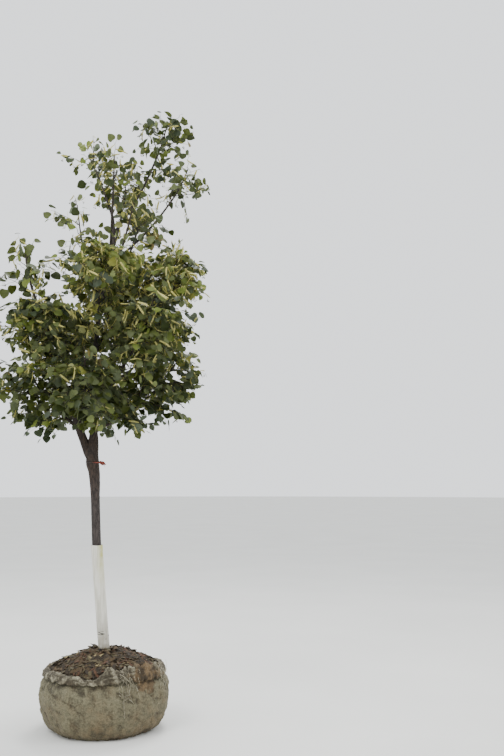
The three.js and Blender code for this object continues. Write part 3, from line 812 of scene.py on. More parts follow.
class Swarm:
    """Many copies of a few templates, joined in one mesh."""

    def __init__(self, templates: Sequence[Template], sides: int = 1) -> None:
        """Starts empty.

        Args:
            templates: The shapes to copy, all with as many vertices and faces.
            sides: How many materials each finish has.
        """
        self.templates = templates
        self.sides = sides
        self.copies: list[tuple[int, Array, Array, int]] = []

    def add(self, kind: int, basis: Array, origin: Array, finish: int = 0) -> None:
        """Adds a copy.

        Args:
            kind: Which template it copies.
            basis: Three rows, where the template's X, Y and Z go, with its sizes.
            origin: Where the template's origin goes.
            finish: Which finish it takes.
        """
        self.copies.append((kind, basis, origin, finish))

    def build_lots(self, name: str, lots: int) -> list[Object]:
        # Painted shade: the deeper a fold of the wrap, the darker its cloth is painted.
        """Makes the copies, in the order in which they were added, into a few pieces of like size."""
        bounds = np.linspace(0, len(self.copies), lots + 1).astype(int)
        spans = [slice(first, last) for first, last in zip(bounds, bounds[1:])]
        return [self.build(f"{name}_{place + 1}", span) for place, span in enumerate(spans)]

    def build(self, name: str, span: slice = slice(None)) -> Object:
        """Makes the joined piece.

        Args:
            name: The piece's name.
            span: Which of the copies it holds.

        Returns:
            The piece.
        """
        kinds, bases, origins, finishes = (np.array(part) for part in zip(*self.copies[span]))
        parts = zip(*[(form.vertices, form.faces, form.uv, form.sides) for form in self.templates])
        shapes, faces, uv, slots = (np.stack(part)[kinds] for part in parts)
        first = self.templates[0]
        places = shapes @ bases + origins[:, None]
        faces = faces + (np.arange(len(kinds)) * len(first.vertices))[:, None, None]
        slots = slots + finishes[:, None] * self.sides
        piece = object_from(name, places.reshape(-1, 3), faces.reshape(-1, 3), uv)
        piece.data.polygons.foreach_set("material_index", slots.ravel().astype(np.int32))
        if first.rim:
            self._sharpen(piece.data, len(first.vertices), first.rim)
        return piece

    @staticmethod
    def _sharpen(mesh: Mesh, each: int, rim: int) -> None:
        """Marks the edges between two vertices of a rim as sharp, so that both sides shade flat to it."""
        ends = np.empty(len(mesh.edges) * 2, np.int32)
        mesh.edges.foreach_get("vertices", ends)
        on_rim = (ends.reshape(-1, 2) % each < rim).all(axis=1)
        mesh.attributes.new("sharp_edge", "BOOLEAN", "EDGE").data.foreach_set("value", on_rim)


class Tubes:
    """Many thin tapering tubes, joined in one mesh."""

    def __init__(self) -> None:
        """Starts empty."""
        self.places: list[Array] = []
        self.faces: list[Array] = []
        self.count = 0

    # Painted shade: the roll is painted darker in its creases and between its rows.
    def add(self, points: Array, radii: Sequence[float], sides: int) -> None:
        """Adds a closed tube.

        Args:
            points: Its middle line, one row each.
            radii: Its radius at each point.
            sides: How many sides it has.
        """
        steps = len(points)
        angles = np.arange(sides) * 2 * math.pi / sides
        tangents = np.gradient(points, axis=0)
        rings = []
        side = across(RIGHT if abs(unit(tangents[0])[0]) < 0.8 else BACK, unit(tangents[0]))
        for point, tangent, radius in zip(points, tangents, radii):
            way = unit(tangent)
            side = across(side, way)
            third = np.cross(way, side)
            rings.append(point + radius * (np.outer(np.cos(angles), side) + np.outer(np.sin(angles), third)))
        self.places.append(np.vstack([*rings, points[:1], points[-1:]]))
        near = np.arange(sides)
        far = (near + 1) % sides
        faces = []
        for step in range(steps - 1):
            low, high = step * sides, (step + 1) * sides
            faces.append(np.column_stack([low + near, low + far, high + far]))
            faces.append(np.column_stack([low + near, high + far, high + near]))
        first, last = steps * sides, steps * sides + 1
        faces.append(np.column_stack([np.full(sides, first), far, near]))
        top = (steps - 1) * sides
        faces.append(np.column_stack([np.full(sides, last), top + near, top + far]))
        self.faces.append(np.vstack(faces) + self.count)
        self.count += steps * sides + 2

    def build(self, name: str) -> Object:
        """Makes the joined piece."""
        return object_from(name, np.vstack(self.places), np.vstack(self.faces))


# The tree's plan, by the same rule as its solids


@dataclass(frozen=True)
class Station:
    """A place on the trunk's middle line: height above the soil, offset from the foot, and radius."""

    height: float
    x: float
    y: float
    radius: float


@dataclass(frozen=True)
class Tier:
    """An arc of round masses of foliage about a middle, whose boughs leave their parent near a height."""

    name: str
    height: float
    x: float
    ring: float
    mass: float
    count: int
    start: float
    end: float
    root: float


@dataclass
class Limb:
    """A tapering limb: its line, the share at which it enters its mass, and its radii."""

    name: str
    line: Line
    side: Array
    entry: float
    root_radius: float
    tip_radius: float
    parent: "Limb | None" = None

    def radius_at(self, share: float) -> float:
        """Returns the radius at a share of the line."""
        return mix(self.root_radius, self.tip_radius, min(1.0, share / self.entry))


@dataclass
class Trunk(Limb):
    """The trunk and leader, whose radius follows its stations."""

    stations: Sequence[Station] = ()
    soil: float = 0.0

    def radius_at(self, share: float) -> float:
        """Returns the radius at a share of the line."""
        height = self.line.at(share)[2] - self.soil
        heights = [station.height for station in self.stations]
        return float(np.interp(height, heights, [station.radius for station in self.stations]))


@dataclass
class Mass:
    """A round mass of foliage that keeps to its own space."""

    name: str
    centre: Array
    radius: float
    azimuth: float = 0.0
    root: float = 0.0
    tier: str = ""
    limb: Limb | None = None


@dataclass
class TreePlan:
    """Where the trunk, the limbs and the masses of foliage are."""

    soil: float = 0.520
    stations: tuple[Station, ...] = (
        Station(0.0, -0.003, 0.0, 0.046),
        Station(0.026, -0.007, 0.0, 0.0354),
        Station(0.13, -0.018, 0.0, 0.0336),
        Station(0.42, -0.045, 0.001, 0.033),
        Station(0.762, -0.075, 0.002, 0.033),
        Station(1.088, -0.091, 0.006, 0.0325),
        Station(1.287, -0.103, 0.008, 0.041),
        Station(1.36, -0.117, 0.008, 0.0475),
        Station(1.43, -0.119, 0.008, 0.0445),
        Station(1.51, -0.114, 0.006, 0.0375),
        Station(1.58, -0.112, 0.004, 0.0305),
        Station(1.78, -0.109, -0.008, 0.024),
        Station(2.05, -0.125, -0.018, 0.0195),
        Station(2.32, -0.095, -0.01, 0.017),
        Station(2.732, -0.039, 0.012, 0.0145),
        Station(3.047, 0.01, 0.016, 0.013),
        Station(3.218, 0.0, 0.006, 0.0115),
        Station(3.37, -0.052, 0.0, 0.008),
    )
    tiers: tuple[Tier, ...] = (
        Tier("skirt", 1.9, -0.085, 0.45, 0.37, 4, 180, 450, 1.65),
        Tier("lower", 2.29, -0.055, 0.505, 0.39, 4, 135, 405, 1.82),
        Tier("crest", 2.77, -0.625, 0.0, 0.3, 1, 180, 180, 1.31),
        Tier("middle", 2.74, 0.05, 0.385, 0.35, 3, -100, 100, 2.18),
        Tier("upper", 3.15, 0.03, 0.275, 0.295, 3, 180, 420, 2.56),
        Tier("high", 3.44, 0.2, 0.305, 0.285, 3, 0, 240, 2.93),
        Tier("top", 3.8, 0.375, 0.0, 0.275, 1, 0, 0, 3.16),
    )
    leader_mass: Triple = (3.625, -0.150, 0.262)
    root_stagger: float = 0.062
    height_wobble: float = 0.045
    left_stem_height: float = 1.310
    left_stem_carries: Pair = (140, 225)
    left_stem_radii: Pair = (0.036, 0.0125)
    left_stem_path: Pairs = (
        (0, 0), (0.008, 0.035), (0.075, 0.08), (0.182, 0.176), (0.27, 0.26), (0.41, 0.37),
        (0.6, 0.53), (0.71, 0.645), (0.86, 0.84), (1, 1), (1.05, 1.11)
    )
    bough_tip: float = 0.0075
    bough_taper: float = 0.0135
    bough_root_share: float = 0.72
    bough_bend: Triple = (0.56, 0.56, 0.34)
    entry_depth: float = 0.2
    stem_upward: float = 0.35
    stem_reach: Pair = (0.3, 0.6)
    leader_stem_reach: float = 0.56
    seed: int = 41
    masses: list[Mass] = field(default_factory=list)
    boughs: list[Limb] = field(default_factory=list)

    def __post_init__(self) -> None:
        """Works the plan out."""
        line = Line([np.array([s.x, s.y, self.soil + s.height]) for s in self.stations])
        tip = self.stations[-1].radius
        self.trunk = Trunk("trunk", line, RIGHT, 1.0, 0.0, tip, stations=self.stations, soil=self.soil)
        self._place_masses()
        self.left_stem = self._left_stem(self.mass_of("crest"))
        for mass in self.masses:
            if mass.tier == "crest":
                mass.limb = self.left_stem
            elif mass.tier != "leader":
                mass.limb = self._bough(mass, self._parent_of(mass))
                self.boughs.append(mass.limb)
        self.mass_of("leader").limb = self._leader_stem(self.mass_of("leader"))

    def trunk_at(self, height: float) -> tuple[Array, float]:
        """Returns the trunk's middle and its radius at a height above the soil."""
        share = self.trunk.line.share_at_height(self.soil + height)
        return self.trunk.line.at(share), self.trunk.radius_at(share)

    def mass_of(self, tier: str) -> Mass:
        """Returns the first mass of a tier."""
        return next(mass for mass in self.masses if mass.tier == tier)

    def _place_masses(self) -> None:
        """Sets the masses of each tier round its middle, and the leader's mass last."""
        draws = Draws(self.seed)
        for tier in self.tiers:
            for place in range(tier.count):
                azimuth = mix(tier.start, tier.end, place / max(1, tier.count - 1))
                angle = math.radians(azimuth)
                wobble = self.height_wobble * (2 * draws.share() - 1) if tier.ring else 0.0
                out = np.array([math.cos(angle), math.sin(angle), 0.0]) * tier.ring
                centre = out + np.array([tier.x, 0.0, self.soil + tier.height + wobble])
                stagger = self.root_stagger if place % 2 else -self.root_stagger
                root = self.soil + tier.root + stagger + wobble
                name = f"{tier.name}_{place + 1}" if tier.count > 1 else tier.name
                self.masses.append(Mass(name, centre, tier.mass, azimuth % 360, root, tier.name))
        height, x, radius = self.leader_mass
        self.masses.append(Mass("leader", np.array([x, 0.0, self.soil + height]), radius, tier="leader"))
        self.centres = np.stack([mass.centre for mass in self.masses])
        self.squares = np.array([mass.radius**2 for mass in self.masses])

    def depth(self, mass: Mass, point: Array) -> float:
        """Returns how far a point lies inside a mass's own space; outside, it is below 0."""
        powers = ((point - self.centres) ** 2).sum(axis=1) - self.squares
        gaps = np.linalg.norm(mass.centre - self.centres, axis=1)
        own = float(((point - mass.centre) ** 2).sum() - mass.radius**2)
        others = gaps > 1e-6
        walls = (powers[others] - own) / (2 * gaps[others])
        return min(mass.radius - float(np.linalg.norm(point - mass.centre)), float(walls.min()))

    def _entry(self, line: Line, mass: Mass) -> float:
        """Returns the share of a line at which it is well inside its mass's space."""
        for share in np.arange(0.06, 0.9, 0.01):
            if self.depth(mass, line.at(share)) > mass.radius * self.entry_depth:
                return float(share)
        return 0.9

    def _parent_of(self, mass: Mass) -> Limb:
        """Returns the limb that a mass's bough leaves: low on the left it is the left stem."""
        on_left = self.left_stem_carries[0] <= mass.azimuth <= self.left_stem_carries[1]
        return self.left_stem if mass.tier in ("skirt", "lower") and on_left else self.trunk

    def _bough(self, mass: Mass, parent: Limb) -> Limb:
        """Returns the bough that leaves its parent low and turns up through its mass."""
        share = parent.line.share_at_height(mass.root)
        root = parent.line.at(share)
        out = mass.centre - root
        bend = root + out * np.array(self.bough_bend)
        steps = np.linspace(0, 1, 7)[:, None]
        arc = root * (1 - steps) ** 2 + bend * 2 * steps * (1 - steps) + mass.centre * steps**2
        onward = unit(unit(mass.centre - bend) + UP * self.stem_upward)
        stem = [mass.centre + onward * mass.radius * reach for reach in self.stem_reach]
        line = Line([*arc, *stem])
        grown = self.bough_tip + self.bough_taper * line.length
        radius = min(grown, parent.radius_at(share) * self.bough_root_share)
        side, entry = unit(np.cross(UP, out)), self._entry(line, mass)
        return Limb(f"bough_{mass.name}", line, side, entry, radius, self.bough_tip, parent)

    def _left_stem(self, mass: Mass) -> Limb:
        """Returns the stem that leaves the fork to the left and climbs to the crest mass."""
        root = self.trunk.line.at(self.trunk.line.share_at_height(self.soil + self.left_stem_height))
        out = mass.centre - root
        line = Line([root + out * np.array([side, side, up]) for side, up in self.left_stem_path])
        return Limb("left_stem", line, BACK, self._entry(line, mass), *self.left_stem_radii, self.trunk)

    def _leader_stem(self, mass: Mass) -> Limb:
        """Returns the leader's own stem, which goes on from the trunk's tip."""
        tip, way = self.trunk.line.at(1.0), self.trunk.line.along(1.0)
        half = tip + way * float(np.linalg.norm(mass.centre - tip)) / 2
        end = mass.centre + UP * mass.radius * self.leader_stem_reach
        line = Line([tip, half, mass.centre, end])
        return Limb("leader_stem", line, BACK, 0.0, self.bough_tip, self.bough_tip)


# Bark


@dataclass
class BarkSkins:
    """The bark of the trunk, the left stem and the boughs, with its furrows as real relief."""

    plan: TreePlan
    sides: int = 28
    bough_sides: int = 16
    ring: float = 0.012
    voxel: float = 0.0032
    collar_reach: float = 0.02
    collar: float = 0.45
    furrows: Pairs = ((0.0, 2.2), (0.7, 1.3), (1.1, 1.5), (1.3, 2.8), (1.6, 2.6), (2.0, 1.2), (3.3, 0.5))
    bough_furrow: float = 0.0007

    def _loft(
        self, bm: BMesh, limb: Limb, shares: Array, radius_at: Callable[[float], float], sides: int
    ) -> None:
        """Draws a ring along a limb and closes both ends.

        Args:
            bm: The bmesh that takes the tube.
            limb: The limb that it follows.
            shares: Where its rings are, in shares of the limb's line.
            radius_at: Its radius at a share.
            sides: How many sides it has.
        """

        def frame_at(share: float) -> Matrix:
            """Returns the place, the turn and the size of the ring at a share."""
            way = limb.line.along(share)
            side = across(limb.side, way)
            radius = radius_at(share)
            columns = np.column_stack([side * radius, np.cross(way, side) * radius, way * radius])
            return Matrix.Translation(Vector(limb.line.at(share))) @ Matrix(columns.tolist()).to_4x4()

        frames = [frame_at(float(share)) for share in shares]
        first = bmesh.ops.create_circle(bm, segments=sides, radius=1.0, cap_ends=True, matrix=frames[0])
        ring = first["verts"]
        around_it = [edge for vertex in ring for edge in vertex.link_edges]
        edges = [edge for edge in dict.fromkeys(around_it) if all(vertex in ring for vertex in edge.verts)]
        for before, after in zip(frames, frames[1:]):
            ring, edges = grow_ring(bm, edges)
            bmesh.ops.transform(bm, matrix=after @ before.inverted(), verts=ring)
        bmesh.ops.contextual_create(bm, geom=edges)

    def _shares(self, limb: Limb, start: float, end: float) -> Array:
        """Returns shares of a limb's line about one ring apart."""
        count = max(3, round((end - start) * limb.line.length / self.ring))
        return np.linspace(start, end, count + 1)

    def _relief(self, piece: Object, limbs: Sequence[Limb], depth_at: Callable[[Array], Array]) -> None:
        """Cuts furrows that run along the limbs into a skin, and stores them for its material.

        Args:
            piece: The skin.
            limbs: The limbs that it covers.
            depth_at: The depth of the furrows at each of some heights.
        """
        marks = [(limb, share) for limb in limbs for share in self._shares(limb, 0.0, 1.0)]
        tree = kdtree.KDTree(len(marks))
        for index, (limb, share) in enumerate(marks):
            tree.insert(Vector(limb.line.at(float(share))), index)
        tree.balance()
        places, normals = places_of(piece), normals_of(piece)
        pattern = np.empty((len(places), 3))
        for index, place in enumerate(places):
            limb, share = marks[tree.find(Vector(place))[1]]
            way = limb.line.along(float(share))
            side = across(limb.side, way)
            out = place - limb.line.at(float(share))
            angle = math.atan2(float(out @ np.cross(way, side)), float(out @ side))
            radius = max(0.004, limb.radius_at(float(share)))
            run = float(share) * limb.line.length + float(out @ way)
            turns = radius / 0.011
            pattern[index] = (math.cos(angle) * turns, math.sin(angle) * turns, run / 0.055)
        furrow = 0.6 * ridges_at(pattern) + 0.4 * ridges_at(pattern * np.array([2.1, 2.1, 2.6]) + 7.3)
        lumps = noise_at(pattern * 0.35 + 3.1)
        depth = depth_at(places[:, 2])
        move = depth * (furrow - 0.6) + depth * 0.8 * lumps
        set_places(piece, places + normals * move[:, None])
        set_values(piece, "furrow", furrow)

    def build_trunk(self) -> None:
        """Builds the trunk and the left stem as one skin, grown together at the fork."""
        plan = self.plan
        bm = bmesh.new()
        self._loft(bm, plan.trunk, self._shares(plan.trunk, 0.0, 1.0), plan.trunk.radius_at, self.sides)
        foot = [vertex for vertex in bm.verts if vertex.co.z < plan.soil + 0.006]
        bmesh.ops.scale(bm, vec=(1.0, 1.0, 0.0), space=Matrix.Translation((0, 0, -plan.soil)), verts=foot)
        stem = plan.left_stem
        self._loft(bm, stem, self._shares(stem, 0.0, stem.entry), stem.radius_at, self.sides)
        piece = object_of(bm, "trunk_bark")
        joined = piece.modifiers.new("Joined", "REMESH")
        joined.mode = "VOXEL"
        joined.voxel_size = self.voxel
        apply_modifiers(piece)
        self._soften(piece)
        soil = plan.soil

        def depth_at(heights: Array) -> Array:
            """Returns how deep the furrows are at some heights."""
            above_soil, depths = np.array(self.furrows).T
            return np.interp(heights - soil, above_soil, depths * MM)

        self._relief(piece, [plan.trunk, stem], depth_at)
        piece.data.shade_smooth()
        dress(piece, "trunk_bark", TRUNK_BARK.material(), replaces=["trunk", "left_stem"])

    @staticmethod
    def _soften(piece: Object) -> None:
        """Rounds the steps of the joined skin off."""
        bm = bmesh.new()
        bm.from_mesh(piece.data)
        every_axis = {"use_axis_x": True, "use_axis_y": True, "use_axis_z": True}
        for _ in range(4):
            bmesh.ops.smooth_vert(bm, verts=bm.verts, factor=0.5, **every_axis)
        bm.to_mesh(piece.data)
        bm.free()
        piece.data.update()

    def build_boughs(self) -> None:
        """Builds each bough with the collar by which it leaves its parent."""
        material = BOUGH_BARK.material()
        for limb in self.plan.boughs:
            parent = limb.parent.radius_at(limb.parent.line.share_at_height(limb.line.at(0.0)[2]))

            def radius_at(share: float) -> float:
                """Returns the radius at a share, swollen by the collar near the parent."""
                past = share * limb.line.length - parent
                swell = 1 + self.collar * math.exp(-max(0.0, past) / self.collar_reach)
                return min(parent * 0.86, limb.radius_at(share) * swell)

            bm = bmesh.new()
            start = 0.3 * parent / limb.line.length
            shares = self._shares(limb, start, limb.entry + 0.01)
            self._loft(bm, limb, shares, radius_at, self.bough_sides)
            piece = object_of(bm, f"bark_{limb.name}")
            self._relief(piece, [limb], lambda heights: np.full(len(heights), self.bough_furrow))
            dress(piece, "bough_bark", material, replaces=[limb.name])


# Foliage


@dataclass(frozen=True)
class LeafShape:
    """A linden blade: a round heart with a short tip, as a thin closed lens, in shares of its own length."""

    corners: int = 18
    notch: float = 0.13
    tip: float = 0.12
    thick: float = 0.012
    cup: float = 0.32
    droop: float = 0.12

    def template(self, cup: float, skew: float) -> Template:
        """Makes one form of the blade.

        Args:
            cup: How far its edges stand above the midrib.
            skew: How much wider its near half is than its far half.
        """
        bm = bmesh.new()
        rim = bmesh.ops.create_circle(bm, segments=self.corners, radius=1.0, cap_ends=False)["verts"]
        for vertex in rim:
            angle = math.atan2(vertex.co.y, vertex.co.x)
            x = 0.42 + 0.5 * math.cos(angle) + self.tip * math.exp(-((angle / 0.3) ** 2))
            x += self.notch * math.exp(-(((math.pi - abs(angle)) / 0.4) ** 2))
            y = 0.5 * math.sin(angle) * (1 + skew * math.copysign(1.0, angle)) * (1 - 0.16 * math.cos(angle))
            vertex.co = (x, y, cup * y * y - self.droop * max(0.0, x - 0.2) ** 2)
        edges = list(bm.edges)
        for height in (self.thick / 2, -self.thick / 2):
            middle = bm.verts.new((0.36, 0.0, height))
            for edge in edges:
                bm.faces.new((*edge.verts, middle))
        bmesh.ops.recalc_face_normals(bm, faces=bm.faces)
        return Template.of(bm, rim=self.corners, underside=True)

    def templates(self) -> list[Template]:
        """Makes the forms that the tree's leaves take."""
        cup = self.cup
        forms = ((cup, 0.05), (-cup * 0.7, -0.04), (cup * 1.8, 0.0), (0.05, 0.07), (-cup * 1.4, 0.03))
        return [self.template(bend, skew) for bend, skew in forms]


def stalk_template(bow: float) -> Template:
    """Makes a three-sided stalk along +X, one long and one in radius, that bows upwards."""
    bm = bmesh.new()
    upright = Matrix.Rotation(math.radians(90), 4, "Y")
    bmesh.ops.create_circle(bm, segments=3, radius=1.0, cap_ends=True, matrix=upright)
    edges = list(bm.edges)
    for step in (1, 2, 3):
        ring, edges = grow_ring(bm, edges)
        bmesh.ops.translate(bm, vec=(1 / 3, 0.0, bow * (2 - step) / 2), verts=ring)
        bmesh.ops.scale(bm, vec=(1.0, 0.92, 0.92), verts=ring)
    bmesh.ops.contextual_create(bm, geom=edges)
    bmesh.ops.recalc_face_normals(bm, faces=bm.faces)
    return Template.of(bm)


def bract_template(curl: float) -> Template:
    """Makes a strap-shaped bract along +X, one long, that curls along its length."""
    bm = bmesh.new()
    bmesh.ops.create_grid(bm, x_segments=6, y_segments=1, size=0.5)
    for vertex in bm.verts:
        share = vertex.co.x + 0.5
        wide = 0.165 * math.sin(math.pi * min(0.97, 0.08 + 0.9 * share)) ** 0.45
        rise = curl * math.sin(math.pi * share) + 0.02 * share
        vertex.co = (share, math.copysign(0.5, vertex.co.y) * wide, rise)
    bmesh.ops.recalc_face_normals(bm, faces=bm.faces)
    bmesh.ops.solidify(bm, geom=list(bm.faces), thickness=0.014)
    return Template.of(bm)


def nutlet_template() -> Template:
    """Makes a round nutlet, one in radius, with a small point below."""
    bm = bmesh.new()
    bmesh.ops.create_icosphere(bm, subdivisions=1, radius=1.0)
    lowest = min(bm.verts, key=lambda vertex: vertex.co.z)
    bmesh.ops.translate(bm, vec=(0, 0, -0.25), verts=[lowest])
    return Template.of(bm)


@dataclass(frozen=True)
class Habit:
    """How the foliage of a tier grows.

    Attributes:
        leaves: How many leaves a full spray has.
        sites: Where on a twig sprays start, in shares of its length.
        twigs: How many twigs leave the stem.
        bracts: How often a leaf's node bears a bract as well.
        droop: How far the sprays hang.
        upward: How much the blades face the sky.
        outward: How much they face out of the mass.
        scatter: How much they face anywhere.
        size: How large they are, as a share of the usual.
        fill: How many short shoots the bough bears on its way to the mass.
        fresh: How often the lighter colours come, as a share of the usual.
    """

    leaves: int
    sites: tuple[float, ...]
    twigs: int
    bracts: float
    droop: float = 0.75
    upward: float = 0.8
    outward: float = 0.5
    scatter: float = 0.6
    size: float = 1.0
    fill: int = 6
    fresh: float = 1.0

    def colour_weights(self) -> list[float]:
        """Returns how often each colour comes in this tier."""
        light = (LeafColour.FRESH, LeafColour.YELLOW)
        return [colour.value.weight * (self.fresh if colour in light else 1.0) for colour in LeafColour]


HABITS = {
    "skirt": Habit(
        9, (0.2, 0.37, 0.54, 0.71, 0.88), 12, 0.12, droop=0.7, upward=0.9, outward=0.2, fill=7, fresh=0.3
    ),
    "skirt_1": Habit(
        8, (0.2, 0.4, 0.6, 0.8, 0.94), 12, 0.12, droop=0.8, upward=0.8, outward=0.2, fill=8, fresh=0.3
    ),
    "lower": Habit(
        10, (0.18, 0.34, 0.5, 0.66, 0.82), 13, 0.4, upward=0.9, outward=0.2, size=0.95, fill=5, fresh=0.8
    ),
    "crest": Habit(
        7, (0.5,), 9, 0.25, droop=0.5, upward=0.3, outward=0.6, scatter=1.0, size=1.14, fill=0, fresh=0.4
    ),
    # Painted light: the middle tier deals the lighter leaf colours 3.6 times as often, to brighten that part
    # of the crown.
    "middle": Habit(
        10, (0.2, 0.4, 0.6, 0.8), 12, 0.85, droop=0.8, upward=0.6, outward=0.3, scatter=0.9, fresh=3.6
    ),
    "upper": Habit(6, (0.6,), 6, 0.4, droop=0.6, upward=0.3, outward=0.5, scatter=1.0, fill=2, fresh=0.6),
    "high": Habit(
        6, (0.45, 0.8), 7, 0.3, droop=0.45, upward=0.3, outward=0.5, scatter=1.0, fill=1, fresh=0.4
    ),
    "top": Habit(
        7, (0.35, 0.7), 11, 0.15, droop=0.3, upward=0.25, outward=0.5, scatter=1.0, fill=3, fresh=0.4
    ),
    "leader": Habit(6, (0.5,), 8, 0.3, droop=0.35, upward=0.3, outward=0.5, scatter=1.0, fill=0, fresh=0.4),
}


@dataclass
class Foliage:
    """Twigs, sprays of leaves, and bracts with nutlets, grown in each mass from its limb."""

    plan: TreePlan
    first: float = 0.1
    last: float = 0.96
    lean: float = 58.0
    lift: float = 0.16
    shortest: float = 0.04
    spray: float = 0.25
    spray_wood: float = 0.8
    leaf: Pair = (0.043, 0.069)
    petiole: Pair = (0.020, 0.036)
    twig_radius: Pair = (0.0040, 0.0018)
    sprig_radius: Pair = (0.0018, 0.0010)
    petiole_radius: float = 0.0008
    margin: float = 0.008
    uneven: float = 0.11
    unevenness: float = 5.0
    between_masses: float = 0.09
    odd_share: float = 0.22
    box_margin: float = 0.010
    stalk_lots: int = 3
    nutlet_lots: int = 2

    def __post_init__(self) -> None:
        """Prepares the shapes and the limbs to miss."""
        self.blades = LeafShape().templates()
        self.twigs = Tubes()
        self.petioles = Swarm([stalk_template(0.12), stalk_template(-0.1)])
        self.bracts = Swarm([bract_template(0.05), bract_template(-0.05), bract_template(0.11)])
        self.nutlets = Swarm([nutlet_template()])
        limbs = [self.plan.trunk, self.plan.left_stem, *self.plan.boughs]
        marks = [
            (limb.line.at(float(share)), limb.radius_at(float(share)))
            for limb in limbs
            for share in np.linspace(0, limb.entry, 60)
        ]
        self.limb_radii = [radius for _, radius in marks]
        self.limb_tree = kdtree.KDTree(len(marks))
        for index, (place, _) in enumerate(marks):
            self.limb_tree.insert(Vector(place), index)
        self.limb_tree.balance()

    def clear_of_limbs(self, point: Array, room: float) -> bool:
        """Tells whether a point is at least room away from every limb's bark."""
        _, index, distance = self.limb_tree.find(Vector(point))
        return distance > self.limb_radii[index] + room

    def _room(self, mass: Mass | None, point: Array) -> float:
        """Returns how far a point lies inside a mass's space, whose edge is uneven, or inside the crown."""
        low, high = (np.array(corner) for corner in CAD_BOX)
        edge = float(min((point - low).min(), (high - point).min())) + self.box_margin
        if mass is None:
            gaps = np.sqrt(self.plan.squares) - np.linalg.norm(self.plan.centres - point, axis=1)
            return min(edge, float(gaps.max()) + self.between_masses)
        uneven = self.uneven * noise.noise(Vector(point) * self.unevenness)
        return min(edge, self.plan.depth(mass, point) + uneven)

    def _reach(self, mass: Mass | None, point: Array, way: Array, most: float) -> float:
        """Returns how far one can go from a point before the mass's space, or the crown's, ends."""
        reach = 0.0
        while reach < most and self._room(mass, point + way * (reach + 0.01)) > 0.004:
            reach += 0.01
        return reach

    def _twig_tip(self, mass: Mass, root: Array, way: Array) -> float:
        """Returns a twig's length, which leaves room for the spray at its tip."""
        return self._reach(mass, root, way, 2 * mass.radius) - self.spray * 0.6

    def grow(self, mass: Mass, seed: int) -> None:
        """Grows one mass and makes its piece of leaves.

        Args:
            mass: The mass.
            seed: The seed of its random numbers.
        """
        draws, fine = Draws(seed), Draws(seed + 1000)
        leaves = Swarm(self.blades, sides=2)
        limb = mass.limb
        start = limb.entry
        shares = np.linspace(start, 1.0, 12)
        stem = np.stack([limb.line.at(float(share)) for share in shares])
        widest = limb.radius_at(start) if limb.entry else self.plan.bough_tip
        radii = np.linspace(widest, self.twig_radius[0], len(shares))
        self.twigs.add(stem, radii, 7)
        habit = HABITS.get(mass.name, HABITS[mass.tier])
        buds = [(limb.line.at(0.99), limb.line.along(1.0))]
        for place in range(habit.twigs):
            share = mix(start, 1.0, mix(self.first, self.last, place / (habit.twigs - 1)))
            root, axis = limb.line.at(share), limb.line.along(share)
            out = turned(limb.side, axis, math.radians(137.5) * place + seed)
            lean = math.radians(self.lean * (0.8 + 0.4 * draws.share()))
            way = unit(axis * math.cos(lean) + out * math.sin(lean) + UP * self.lift)
            reach = self._twig_tip(mass, root, way) * draws.between(0.8, 1.15)
            if reach < self.shortest:
                buds.append((root, way))
                continue
            points = self._bowed(root, way, reach, fine)
            if not all(self.clear_of_limbs(point, 0.004) for point in points[1:]):
                continue
            self.twigs.add(points, np.linspace(*self.twig_radius, len(points)), 5)
            line = Line(points)
            sideways = unit(np.cross(way, UP))
            buds.append((line.at(0.98), way))
            for turn, where in enumerate(habit.sites if reach > 0.11 else habit.sites[1::2]):
                side = sideways if turn % 2 else -sideways
                buds.append((line.at(where), unit(way * 0.6 + side + fine.vector(0.4))))
        for point, way in buds:
            self._grow_spray(mass, mass.centre, habit, leaves, point, way, fine)
        for point, way in self._side_shoots(limb, habit, fine):
            self._grow_spray(None, limb.line.at(0.0), habit, leaves, point, way, fine)
        piece = leaves.build(f"leaves_{mass.name}")
        finishes = [material for pair in self.leaf_materials for material in pair]
        dress(piece, "foliage", *finishes, replaces=[f"foliage_{mass.name}"])

    def _side_shoots(self, limb: Limb, habit: Habit, draws: Draws) -> Iterator[tuple[Array, Array]]:
        """Grows short bare shoots on a limb's way to its mass and gives the bud at the end of each.

        Args:
            limb: The limb.
            habit: How its foliage grows.
            draws: The random numbers.

        Yields:
            The place and the direction of each bud.
        """
        for place in range(habit.fill if limb.entry else 0):
            share = limb.entry * mix(0.42, 1.0, (place + draws.share()) / habit.fill)
            root, axis = limb.line.at(share), limb.line.along(share)
            out = turned(limb.side, axis, math.radians(137.5) * place + 1.0)
            way = unit(out + axis * 0.7 + UP * 0.2)
            reach = self._reach(None, root, way, draws.between(0.05, 0.16))
            points = self._bowed(root, way, max(0.03, reach), draws)
            if not all(self.clear_of_limbs(point, 0.002) for point in points[2:]):
                continue
            self.twigs.add(points, np.linspace(*self.twig_radius, len(points)), 5)
            yield points[-1], way
            yield points[3], unit(way + np.cross(way, UP))
            yield points[4], unit(way - np.cross(way, UP))

    @staticmethod
    def _bowed(root: Array, way: Array, reach: float, draws: Draws) -> Array:
        """Returns the points of a twig that bows a little and kinks at its nodes."""
        side = unit(np.cross(way, UP) + 1e-6)
        points = []
        for share in np.linspace(0, 1, 6):
            kink = side * 0.004 * (1 if len(points) % 2 else -1) * (0 < share < 1)
            sag = UP * 0.03 * reach * math.sin(math.pi * share)
            points.append(root + way * reach * share + kink + sag + draws.vector(0.0015))
        points[0] = root
        return np.stack(points)

